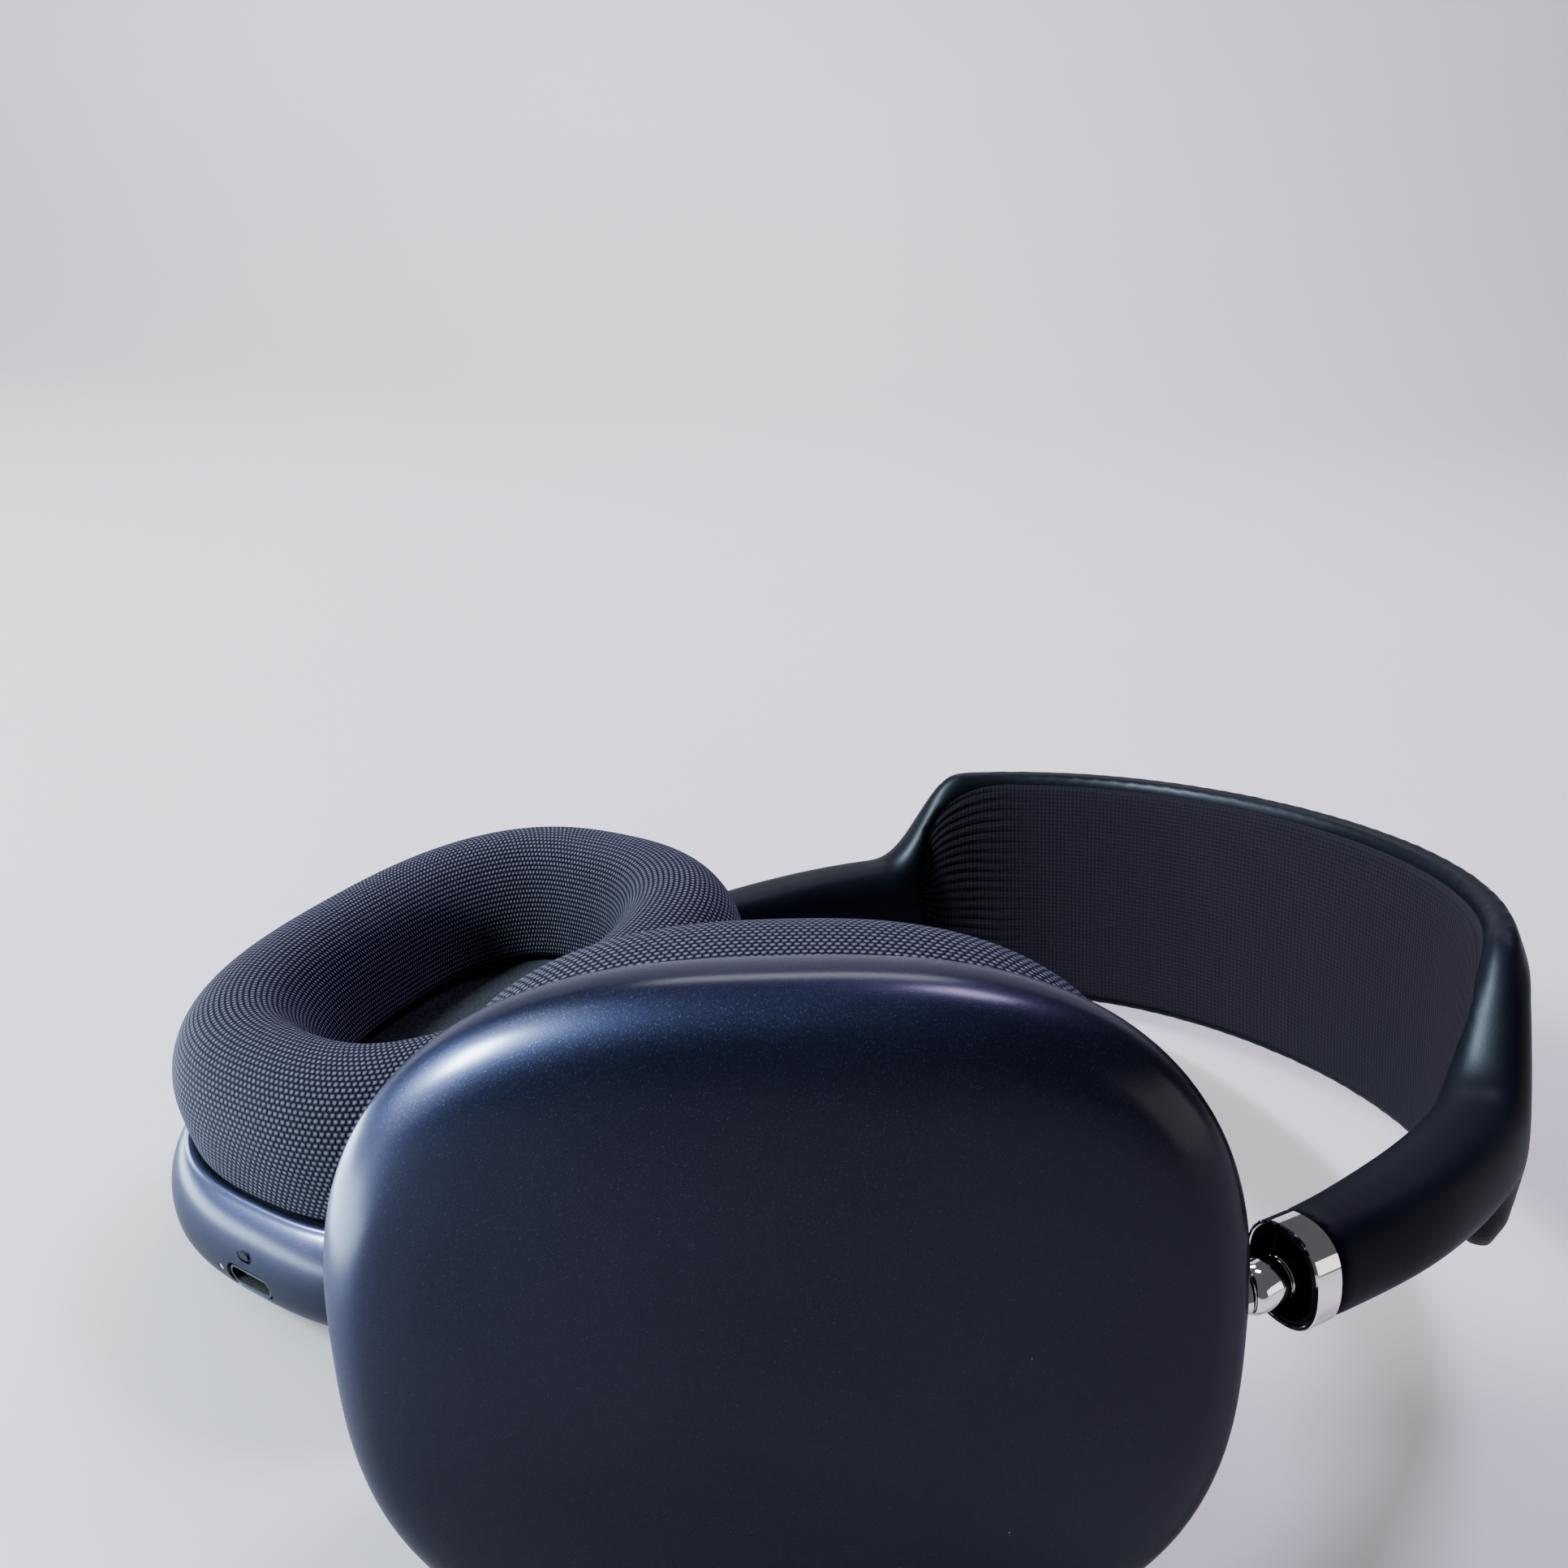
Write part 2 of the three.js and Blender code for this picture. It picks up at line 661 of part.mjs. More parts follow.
function noiseButton() {
  const { halfWidth, halfLength } = NOISE_BUTTON;
  return join(pill(halfWidth, halfLength, -6.4, 0.5), pill(halfWidth + 0.9, halfLength + 0.9, -7.2, -6.3));
}

function portShell() {
  const outer = pill(PORT.halfHeight, PORT.halfWidth, -PORT.depth, -0.3);
  return cut(outer, pill(PORT.halfHeight - 0.35, PORT.halfWidth - 0.35, -PORT.depth - 1, 1));
}

function portTongue() {
  const base = pill(PORT.halfHeight - 0.65, PORT.halfWidth - 0.65, -PORT.depth, -PORT.depth + 1, 20);
  return join(base, block([-0.35, 0.35], [-3.2, 3.2], [-PORT.depth + 0.5, -1.2]));
}

// ---------------------------------------------------------------- assembly

function add(parent, name, body, material) {
  const mesh = new THREE.Mesh(geometryOf(body), MATERIALS[material]);
  mesh.name = name;
  parent.add(mesh);
  return mesh;
}

// A child group at a place, turned by angles in radians.
function group(parent, [x, y, z], [rx, ry, rz] = [0, 0, 0]) {
  const child = new THREE.Group();
  child.position.set(x, y, z);
  child.rotation.set(rx, ry, rz);
  parent.add(child);
  return child;
}

function addHeadband(band) {
  add(band, "headband_frame", headbandFrame(), "softTouch");
  add(band, "canopy_mesh", canopySheet(), "canopyKnit");
}

function addArmEnd(arm, side) {
  add(arm, `end_ring_${side}`, endRing(), "polishedSteel");
  add(arm, `arm_end_cap_${side}`, armEndCap(), "blackPlastic");
  add(arm, `stem_guide_${side}`, stemGuide(), "innerPlastic");
}

function addCup(cup, side) {
  add(cup, `ear_cup_shell_${side}`, earCupShell(side), "anodised");
  add(cup, `hinge_socket_${side}`, hingeSocket(), "blackPlastic");
  add(cup, `hinge_pin_${side}`, hingePin(), "magnetSteel");
  add(cup, `baffle_${side}`, baffle(), "innerPlastic");
  add(cup, `driver_basket_${side}`, driverBasket(), "magnetSteel");
  add(cup, `driver_diaphragm_${side}`, driverDiaphragm(), "diaphragm");
  add(cup, `driver_magnet_${side}`, driverMagnet(), "magnetSteel");
  add(cup, `logic_board_${side}`, logicBoard(), "board");
  add(cup, `mic_grille_${side}`, micGrille(), "blackPlastic");
  add(cup, `ear_cushion_${side}`, ring(cushionSections()), "knit");
  add(cup, `cushion_carrier_${side}`, cushionCarrier(), "innerPlastic");
  add(cup, `speaker_scrim_${side}`, speakerScrim(), "knit");
}

function addControls(cup) {
  add(cup, "battery_cell_front", batteryCell(1), "battery");
  add(cup, "battery_cell_back", batteryCell(-1), "battery");
  add(cup, "crown_knob", inFrame(crownKnob(), CROWN_FRAME), "anodised");
  add(cup, "crown_shaft", inFrame(crownShaft(), CROWN_FRAME), "magnetSteel");
  add(cup, "noise_button", inFrame(noiseButton(), NOISE_FRAME), "anodised");
  add(cup, "charging_port_shell", inFrame(portShell(), PORT_FRAME), "polishedSteel");
  add(cup, "charging_port_tongue", inFrame(portTongue(), PORT_FRAME), "blackPlastic");
  add(cup, "status_lens", inFrame(post(0.5, -1.6, -0.1, 12), LENS_FRAME), "lens");
}

// One side: arm end, stem, yoke and cup, in a frame whose x points away from the head.
function addSide(band, side) {
  const pose = POSE[side];
  const { degToRad } = THREE.MathUtils;
  const half = group(band, [0, 0, 0], [0, 0, side === "left" ? Math.PI : 0]);
  const arm = group(half, [BAND.endX, 0, BAND.endZ], [0, BAND.endLean, 0]);
  addArmEnd(arm, side);
  const stem = group(arm, [0, 0, -pose.drop]);
  const bend = group(stem, [0, 0, 0], [0, STEM.bend, 0]);
  bend.updateMatrix();
  add(stem, `stem_${side}`, stemBody(bend), "polishedSteel");
  add(stem, `stem_stop_${side}`, stemStop(), "innerPlastic");
  const yoke = group(bend, [0, 0, 0], [0, 0, degToRad(pose.swivel)]);
  add(yoke, `swivel_yoke_${side}`, swivelYoke(), "polishedSteel");
  const pin = group(yoke, [0, 0, -STEM.pinDrop], [0, degToRad(pose.tilt), 0]);
  const cup = group(pin, [-PIN.x, 0, -PIN_Z]);
  addCup(cup, side);
  if (side === "right") addControls(cup);
}

// The worn frame laid on its back rail: worn right goes to +Y, worn front to +Z, worn up to +X.
function layDown(band) {
  const { degToRad } = THREE.MathUtils;
  const worn = new THREE.Matrix4().makeBasis(
    new THREE.Vector3(0, 1, 0),
    new THREE.Vector3(0, 0, 1),
    new THREE.Vector3(1, 0, 0),
  );
  const lean = new THREE.Euler(degToRad(POSE.bandRoll), 0, degToRad(POSE.bandYaw), "ZYX");
  band.quaternion.setFromRotationMatrix(new THREE.Matrix4().makeRotationFromEuler(lean).multiply(worn));
}

// Moves the model so that the origin is under the middle of its box, at its lowest point.
function standOnOrigin(model) {
  model.updateMatrixWorld(true);
  const box = new THREE.Box3().setFromObject(model, true);
  const middle = box.getCenter(new THREE.Vector3());
  model.children[0].position.set(-middle.x, -middle.y, -box.min.z);
}

const headphones = new THREE.Group();
const band = group(headphones, [0, 0, 0]);
addHeadband(band);
addSide(band, "left");
addSide(band, "right");
layDown(band);
standOnOrigin(headphones);

export default headphones;
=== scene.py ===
"""Looks for the over-ear headphones: smooth shells, knit cushions, a stretched canopy and soft light."""
import json
import math

import bmesh
import bpy
from mathutils import Matrix, Vector


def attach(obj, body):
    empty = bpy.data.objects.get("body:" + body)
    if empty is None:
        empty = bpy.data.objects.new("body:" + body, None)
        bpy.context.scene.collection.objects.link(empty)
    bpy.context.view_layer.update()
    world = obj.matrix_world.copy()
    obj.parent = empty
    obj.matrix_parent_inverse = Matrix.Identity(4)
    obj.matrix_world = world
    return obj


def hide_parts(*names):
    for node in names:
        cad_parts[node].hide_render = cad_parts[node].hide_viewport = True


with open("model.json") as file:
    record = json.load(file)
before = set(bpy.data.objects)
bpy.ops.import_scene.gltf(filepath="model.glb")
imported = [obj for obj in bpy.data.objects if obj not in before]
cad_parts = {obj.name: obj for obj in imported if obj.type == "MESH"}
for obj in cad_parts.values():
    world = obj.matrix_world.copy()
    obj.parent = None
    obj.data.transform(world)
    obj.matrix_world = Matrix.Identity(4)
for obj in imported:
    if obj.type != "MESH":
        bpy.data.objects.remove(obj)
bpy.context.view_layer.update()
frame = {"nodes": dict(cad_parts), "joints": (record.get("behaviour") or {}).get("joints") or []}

MM = 0.001
JOINTS = {joint["name"]: joint for joint in frame["joints"]}

SIDES = ("left", "right")

# Sizes shared with the CAD, in millimetres.

# The ear cup: x runs from its rim out to its face, y across it and z along it.
CUP_HALF_LENGTH = 48.3
CUP_HALF_WIDTH = 42.3
CUP_DEPTH = 19.2
CUP_WIDEST = 9.7
CUP_RIM_ANGLE = 1.2
CUP_RIM_INSET = 4.0
CUP_WALL = 1.5
CUP_ROUNDNESS = 2.7
EDGE_GROWTH = 20
FACE_ROUNDNESS = 2.1
PIN_X = 6.0
PIN_Z = CUP_HALF_LENGTH - 4.0
SLOT_X, SLOT_HALF_WIDTH, SLOT_HALF_LENGTH, SLOT_DEPTH = 6.5, 4.65, 4.75, 8
CUP_POINTS_AROUND = 224

CUSHION_ROUNDNESS = 2.55
STITCHES_AROUND, STITCH_ROW = 272, 0.8
CUSHION_AROUND, CUSHION_ROWS = 128, 46
SWELL_LIMIT, SWELL_FRAMES, SWELL_PRESSURE = 1.2, 20, 4

# The headband: its centreline is a Bezier curve from each arm end up to the crown.
END_X, END_Z, CROWN_Z = 67.7, -11.1, 74.3
END_LEAN, END_REACH, CROWN_REACH = 0.08, 68.0, 32.0
RAIL_HALF_SPAN, OPENING_HALF_SPAN = 24.0, 19.0
OPENING_START, OPENING_ROUND = 53.0, 20.0
FLARE_START, FLARE_END = 41.0, 61.0
RAIL_HALF_THICKNESS = 4.2
SEAT_WIDTH, SEAT_LEVEL, CANOPY_THICKNESS = 2.8, -2.1, 0.8
ARM_HALF_THICKNESS, ARM_HALF_WIDTH = 5.3, 6.1
ARM_SWELL, ARM_SWELL_LENGTH = 0.7, 24
RING_LENGTH = 3.6
STEM_RADIUS, ELBOW_RADIUS, STEM_BEND = 2.5, 2.8, 0.3
STEM_TOP = 26.6
DROP = {"left": 4.8, "right": 0.6}

# Controls, port and microphone on the cup's edge.
CROWN_Y, CROWN_RADIUS, CROWN_TEETH, CROWN_TOOTH_DEPTH = -17.0, 4.2, 36, 0.11
CROWN_POINTS_PER_TOOTH = 6
SHAFT_HOLE_RADIUS, POCKET_FLOOR = 1.5, -1.1
BUTTON_Y, BUTTON_HALF_LENGTH, BUTTON_HALF_WIDTH = 17.0, 6.5, 2.3
PORT_HALF_WIDTH, PORT_HALF_HEIGHT = 4.6, 1.6
MIC_X, MIC_HALF_HEIGHT, MIC_HALF_WIDTH = 5.4, 0.72, 1.2
LENS_Y, LENS_HOLE_RADIUS = 6.8, 0.62
THROUGH = 6  # reach of a tool that has to pass through the cup's wall

# ---------------------------------------------------------------- places


def axes_frame(origin, x, y, z):
    """A matrix from millimetres in a local frame to metres in the scene."""
    turn = Matrix((x, y, z)).transposed().to_4x4()
    return Matrix.Translation(origin) @ turn @ Matrix.Scale(MM, 4)


def cup_frame(side):
    """Origin in the middle of the cup's rim, x away from the head, z towards the headband."""
    x = -Vector(JOINTS[f"cushion_pull_{side}"]["axis"]).normalized()
    y = Vector(JOINTS[f"cup_tilt_{side}"]["axis"]).normalized()
    z = x.cross(y).normalized()
    pin = Vector(JOINTS[f"cup_tilt_{side}"]["pos_m"])
    return axes_frame(pin - (x * PIN_X + z * PIN_Z) * MM, x, y, z)


def arm_end(side):
    """The middle of the arm's open end."""
    bend = Vector(JOINTS[f"cup_swivel_{side}"]["pos_m"])
    down = Vector(JOINTS[f"stem_slide_{side}"]["axis"])
    return bend - down * DROP[side] * MM


def band_frame():
    """The worn frame of the headband: x to the wearer's right, y to the front, z up."""
    downs = [Vector(JOINTS[f"stem_slide_{side}"]["axis"]) for side in SIDES]
    left, right = arm_end("left"), arm_end("right")
    x = (right - left).normalized()
    z = -(downs[0] + downs[1]).normalized()
    z = (z - x * z.dot(x)).normalized()
    y = z.cross(x)
    return axes_frame((left + right) / 2 - z * END_Z * MM, x, y, z)


def arm_frame(side):
    """Origin at the arm's end, z up along the stem."""
    z = -Vector(JOINTS[f"stem_slide_{side}"]["axis"]).normalized()
    front = BAND.to_3x3().col[1].normalized()
    y = front if side == "right" else -front
    y = (y - z * y.dot(z)).normalized()
    return axes_frame(arm_end(side), y.cross(z), y, z)


def stem_frame(side):
    return arm_frame(side) @ Matrix.Translation((0, 0, -DROP[side]))


BAND = band_frame()
CUP = {side: cup_frame(side) for side in SIDES}

# ---------------------------------------------------------------- mesh tools


def new_object(name, points, faces, place):
    """A mesh object whose points are given in the local frame called place."""
    mesh = bpy.data.meshes.new(name)
    mesh.from_pydata([place @ Vector(p) for p in points], [], faces)
    mesh.update()
    made = bpy.data.objects.new(name, mesh)
    bpy.context.scene.collection.objects.link(made)
    face_outwards(made)
    return made


def face_outwards(obj):
    work = bmesh.new()
    work.from_mesh(obj.data)
    bmesh.ops.recalc_face_normals(work, faces=work.faces)
    work.to_mesh(obj.data)
    work.free()


def grid_faces(rows, columns, wrap_rows=False, wrap_columns=True):
    """Four-sided faces between rows of points that are numbered row by row."""
    faces = []
    for i in range(rows if wrap_rows else rows - 1):
        for j in range(columns if wrap_columns else columns - 1):
            a, b = i * columns + j, i * columns + (j + 1) % columns
            below = ((i + 1) % rows) * columns
            faces.append((a, b, below + (j + 1) % columns, below + j))
    return faces


def capped_loft(rows):
    """Points and faces of a closed body through rows of points, with a point in the middle of each end."""
    columns = len(rows[0])
    points = [p for row in rows for p in row]
    faces = grid_faces(len(rows), columns)
    for start in (0, (len(rows) - 1) * columns):
        rim = points[start:start + columns]
        middle = [sum(p[k] for p in rim) / columns for k in range(3)]
        points.append(middle)
        faces += [(len(points) - 1, start + j, start + (j + 1) % columns) for j in range(columns)]
    return points, faces


def turned(profile, segments=64):
    """Rows of points for a [radius, height] profile turned about z."""
    angles = [2 * math.pi * j / segments for j in range(segments)]
    return [[(r * math.cos(a), r * math.sin(a), h) for a in angles] for r, h in profile]


def bake(obj):
    """Makes the result of the object's modifiers its own mesh."""
    graph = bpy.context.evaluated_depsgraph_get()
    mesh = bpy.data.meshes.new_from_object(obj.evaluated_get(graph))
    obj.modifiers.clear()
    obj.data = mesh


def cut(obj, *cutters):
    """Cuts each tool out of the object and deletes the tool."""
    for cutter in cutters:
        tool = obj.modifiers.new("cut", "BOOLEAN")
        tool.operation = "DIFFERENCE"
        tool.solver = "EXACT"
        tool.object = cutter
        bake(obj)
        bpy.data.objects.remove(cutter)


def smooth(obj, angle=35):
    obj.data.shade_smooth()
    obj.data.set_sharp_from_angle(angle=math.radians(angle))


def subdivide(obj, levels=1):
    tool = obj.modifiers.new("subdivision", "SUBSURF")
    tool.levels = tool.render_levels = levels
    bake(obj)


def finish_piece(obj, body, slot, material, *nodes, angle=35):
    """Shades a piece, makes it ride on its body and stand for its CAD nodes."""
    smooth(obj, angle)
    obj.data.materials.clear()
    obj.data.materials.append(material)
    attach(obj, body)
    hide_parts(*nodes)
    return obj


# ---------------------------------------------------------------- shapes


def outline(half_y, half_z, power, count):
    """Points of a superellipse, evenly spaced in angle."""
    points = []
    for j in range(count):
        angle = 2 * math.pi * (j + 0.5) / count
        c, s = math.cos(angle), math.sin(angle)
        radius = (abs(c / half_y) ** power + abs(s / half_z) ** power) ** (-1 / power)
        points.append((radius * c, radius * s))
    return points


def cup_row(x, inset, count, power=CUP_ROUNDNESS):
    """Points of the cup's outline, drawn in by inset, at height x over the rim."""
    rim = outline(CUP_HALF_WIDTH - inset, CUP_HALF_LENGTH - inset, power, count)
    return [(x, y, z) for y, z in rim]


def growing_curve(turn, steps=300):
    """How far in and up a curve comes in part of a quarter turn; its radius grows as the turn does."""
    inwards = upwards = 0.0
    for i in range(steps):
        share = turn * (i + 0.5) / steps
        length = share ** EDGE_GROWTH * turn * math.pi / 2 / steps
        inwards += length * math.sin(share * math.pi / 2)
        upwards += length * math.cos(share * math.pi / 2)
    return inwards, upwards


def face_section(turn):
    """A place on the face's section: the share of the outline that is left and the share of the height."""
    span, height = (CUP_HALF_WIDTH + CUP_HALF_LENGTH) / 2, CUP_DEPTH - CUP_WIDEST
    whole_in, whole_up = growing_curve(1)
    growth = (span - height) / (whole_in - whole_up)
    edge_radius = height - growth * whole_up
    inwards, upwards = growing_curve(turn)
    angle = turn * math.pi / 2
    share = 1 - (edge_radius * (1 - math.cos(angle)) + growth * inwards) / span
    return share, (edge_radius * math.sin(angle) + growth * upwards) / height


def cup_rows(offset, count, side_steps, face_steps):
    """Rows of the cup from its rim to the middle of its face, made smaller by offset."""
    rows = []
    for i in range(side_steps):
        angle = CUP_RIM_ANGLE * (1 - i / side_steps)
        x = CUP_WIDEST * (1 - math.sin(angle) / math.sin(CUP_RIM_ANGLE))
        inset = CUP_RIM_INSET * (1 - math.cos(angle)) / (1 - math.cos(CUP_RIM_ANGLE))
        rows.append(cup_row(x, inset + offset, count))
    half_y, half_z = CUP_HALF_WIDTH - offset, CUP_HALF_LENGTH - offset
    for i in range(face_steps):
        share, height = face_section(1 - (1 - i / face_steps) ** 1.6)
        x = CUP_WIDEST + (CUP_DEPTH - offset - CUP_WIDEST) * height
        power = FACE_ROUNDNESS + (CUP_ROUNDNESS - FACE_ROUNDNESS) * share ** 2
        rows.append([(x, y, z) for y, z in outline(half_y * share, half_z * share, power, count)])
    return rows


def lip_rows(count, inner_inset, steps=6):
    """The rounded lip of the cup's rim, from its outer side to its inner wall."""
    middle, radius = (CUP_RIM_INSET + inner_inset) / 2, (inner_inset - CUP_RIM_INSET) / 2
    rows = []
    for i in range(1, steps):
        angle = math.pi * i / steps
        rows.append(cup_row(-0.5 * radius * math.sin(angle), middle - radius * math.cos(angle), count))
    return rows


def pill(half_x, half_y, levels, segments=48):
    """Rows of a straight-sided pill; levels holds (height, grow) pairs."""
    radius = min(half_x, half_y)
    long_x, long_y = half_x - radius, half_y - radius
    rows = []
    for height, grow in levels:
        row = []
        for j in range(segments):
            angle = 2 * math.pi * (j + 0.5) / segments
            c, s = math.cos(angle), math.sin(angle)
            row.append((
                (radius + grow) * c + math.copysign(long_x, c),
                (radius + grow) * s + math.copysign(long_y, s),
                height,
            ))
        rows.append(row)
    return rows


def edge_frame(y, side=1):
    """A frame on the cup's edge at y, z pointing out; side is 1 for the top edge and -1 for the bottom."""
    power = CUP_ROUNDNESS
    share = abs(y) / CUP_HALF_WIDTH
    rest = 1 - share ** power
    height = CUP_HALF_LENGTH * rest ** (1 / power)
    slope = CUP_HALF_LENGTH / CUP_HALF_WIDTH * share ** (power - 1) * rest ** (1 / power - 1)
    lean = math.copysign(math.atan(slope), y)
    turn = -lean if side > 0 else math.pi + lean
    return Matrix.Translation((CUP_WIDEST, y, side * height)) @ Matrix.Rotation(turn, 4, "X")


# ---------------------------------------------------------------- materials


class Nodes:
    """Short-hand for building one material's nodes."""

    def __init__(self, name, **constants):
        self.material = bpy.data.materials.new(name)
        self.material.use_nodes = True
        self.tree = self.material.node_tree
        self.shader = self.tree.nodes["Principled BSDF"]
        for socket, value in constants.items():
            self.shader.inputs[socket.replace("_", " ")].default_value = value

    def node(self, kind, inputs=(), **settings):
        made = self.tree.nodes.new(kind)
        for key, value in settings.items():
            setattr(made, key, value)
        for key, value in dict(inputs).items():
            self.feed(made.inputs[key], value)
        return made

    def feed(self, socket, value):
        if isinstance(value, bpy.types.NodeSocket):
            self.tree.links.new(value, socket)
        else:
            socket.default_value = value

    def math(self, operation, *values):
        made = self.node("ShaderNodeMath", operation=operation)
        for i, value in enumerate(values):
            self.feed(made.inputs[i], value)
        return made.outputs[0]

    def coordinates(self, kind="Object"):
        return self.node("ShaderNodeTexCoord").outputs[kind]

    def noise(self, scale, detail=2.0, roughness=0.5, where=None):
        where = where or self.coordinates()
        inputs = {"Vector": where, "Scale": scale, "Detail": detail, "Roughness": roughness}
        return self.node("ShaderNodeTexNoise", inputs).outputs["Fac"]

    def ramp(self, value, low, high, to_low=0.0, to_high=1.0):
        """Smooth step from to_low, where value is low, to to_high, where it is high."""
        inputs = {0: value, 1: low, 2: high, 3: to_low, 4: to_high}
        made = self.node("ShaderNodeMapRange", interpolation_type="SMOOTHSTEP")
        for key, item in inputs.items():
            self.feed(made.inputs[key], item)
        return made.outputs[0]

    def mix(self, factor, low, high):
        made = self.node("ShaderNodeMix", data_type="RGBA")
        self.feed(made.inputs["Factor"], factor)
        for socket, value in ((made.inputs[6], low), (made.inputs[7], high)):
            self.feed(socket, value if isinstance(value, bpy.types.NodeSocket) else (*value, 1))
        return made.outputs[2]

    def set(self, socket, value):
        self.feed(self.shader.inputs[socket], value)

    def bump(self, height, distance, strength=1.0):
        made = self.node("ShaderNodeBump", {"Height": height, "Distance": distance, "Strength": strength})
        self.set("Normal", made.outputs["Normal"])


def anodised():
    """Bead-blasted anodised aluminium: a fine sparkle under a satin oxide coat, with a few dust specks."""
    n = Nodes("midnight_anodised", Metallic=0.95, Coat_Weight=0.24, Coat_Roughness=0.24, Coat_IOR=1.5)
    n.shader.inputs["Specular Tint"].default_value = (0.36, 0.38, 0.46, 1)
    grain = n.noise(5200, 3.0, 0.6)
    cloud = n.noise(60, 2.0)
    navy = n.mix(n.ramp(cloud, 0.3, 0.7), (0.0040, 0.0043, 0.0100), (0.0050, 0.0053, 0.0118))
    sparkle = n.mix(n.ramp(grain, 0.55, 0.8), navy, (0.014, 0.022, 0.05))
    dust = n.node("ShaderNodeTexVoronoi", {"Vector": n.coordinates(), "Scale": 95.0})
    speck = n.math("LESS_THAN", dust.outputs["Distance"], 0.012)
    rare = n.math("GREATER_THAN", n.noise(31, 0.0), 0.58)
    n.set("Base Color", n.mix(n.math("MULTIPLY", speck, rare), sparkle, (0.22, 0.24, 0.27)))
    n.set("Roughness", n.ramp(grain, 0.3, 0.7, 0.42, 0.5))
    n.bump(grain, 0.00004, 0.5)
    return n.material


def soft_touch():
    """Matte rubber-like sleeve with a very fine texture."""
    n = Nodes("soft_touch_sleeve", Specular_IOR_Level=0.04, Sheen_Weight=0.003, Sheen_Roughness=0.4)
    n.shader.inputs["Sheen Tint"].default_value = (0.45, 0.6, 0.85, 1)
    grain = n.noise(2600, 2.0)
    cloud = n.noise(45, 3.0)
    black, navy = (0.0010, 0.0018, 0.0050), (0.0015, 0.0026, 0.0066)
    n.set("Base Color", n.mix(n.ramp(cloud, 0.3, 0.7), black, navy))
    n.set("Roughness", n.ramp(cloud, 0.25, 0.75, 0.42, 0.52))
    n.bump(grain, 0.00004, 0.3)
    return n.material


def knit(name, light, dark, depth):
    """Knit whose UV counts stitches: rounded stitches, every second row moved over by half a stitch; the
    colour is painted shade, dark in the gaps between stitches and light on their tops.
    """
    n = Nodes(name, Roughness=0.8, Specular_IOR_Level=0.02, Sheen_Weight=0.03, Sheen_Roughness=0.5)
    n.shader.inputs["Sheen Tint"].default_value = (0.6, 0.66, 0.85, 1)
    where = n.node("ShaderNodeSeparateXYZ", {"Vector": n.coordinates("UV")})
    wander = n.math("MULTIPLY", n.math("SUBTRACT", n.noise(700, 1.0), 0.5), 0.2)
    row = n.math("FLOOR", where.outputs["Y"])
    up = n.math("FRACT", where.outputs["Y"])
    shift = n.math("MULTIPLY", n.math("MODULO", row, 2.0), 0.5)
    across = n.math("ADD", n.math("ADD", where.outputs["X"], shift), wander)
    wide = n.math("SINE", n.math("MULTIPLY", n.math("FRACT", across), math.pi))
    tall = n.math("SINE", n.math("MULTIPLY", up, math.pi))
    height = n.math("MULTIPLY", n.math("POWER", wide, 0.8), n.math("POWER", tall, 0.8))
    fibre = n.noise(5200, 2.0)
    # Painted shade: the colour runs from the dark colour where the stitch height is low, in the gaps, to the
    # light colour on the stitch tops; the fibre noise adds a random tone.
    tone_with_painted_shade = n.math("MULTIPLY", n.ramp(height, 0.3, 1.0), n.ramp(fibre, 0.2, 0.8, 0.5, 1.2))
    n.set("Base Color", n.mix(tone_with_painted_shade, dark, light))
    n.bump(n.math("ADD", height, n.math("MULTIPLY", fibre, 0.1)), depth, 0.9)
    return n.material


def canopy_knit():
    """Fine stitches, with pleats where the knit gathers at its ends; the colour is painted shade, darker in
    the stitch grooves and in the pleat folds. UV is millimetres across and along.
    """
    rib_width, stitch_length, pleat_width = 0.75, 0.8, 2.1
    gather_start, gather_end = 50.0, 68.0
    n = Nodes("canopy_knit", Roughness=0.85, Specular_IOR_Level=0.02, Sheen_Weight=0.02, Sheen_Roughness=0.5)
    n.shader.inputs["Sheen Tint"].default_value = (0.7, 0.68, 0.8, 1)
    where = n.node("ShaderNodeSeparateXYZ", {"Vector": n.coordinates("UV")})
    wander = n.math("MULTIPLY", n.math("SUBTRACT", n.noise(90, 1.0), 0.5), 0.8)
    rib = n.math("SINE", n.math("MULTIPLY", where.outputs["X"], 2 * math.pi / rib_width))
    stitch = n.math("SINE", n.math("MULTIPLY", where.outputs["Y"], 2 * math.pi / stitch_length))
    fine = n.math("MULTIPLY_ADD", n.math("ADD", rib, stitch), 0.25, 0.5)
    across = n.math("ADD", n.math("MULTIPLY", where.outputs["X"], 1 / pleat_width), wander)
    pleat = n.math("ABSOLUTE", n.math("SINE", n.math("MULTIPLY", across, math.pi)))
    gather = n.ramp(n.math("ABSOLUTE", where.outputs["Y"]), gather_start, gather_end, 0.0, 0.8)
    fold_depth_and_shade = n.math("MULTIPLY", n.math("SUBTRACT", 1.0, pleat), gather)
    # Painted shade: the colour darkens in the stitch grooves and strongly in the pleat folds where the knit
    # gathers; the fold also lowers the bump.
    tone_with_painted_shade = n.math("SUBTRACT", n.math("MULTIPLY_ADD", fine, 0.6, 0.4), n.math("MULTIPLY", fold_depth_and_shade, 0.8))
    n.set("Base Color", n.mix(tone_with_painted_shade, (0.001, 0.001, 0.003), (0.0145, 0.0120, 0.0205)))
    n.bump(n.math("SUBTRACT", n.math("MULTIPLY", fine, 0.2), fold_depth_and_shade), 0.0007, 0.9)
    return n.material


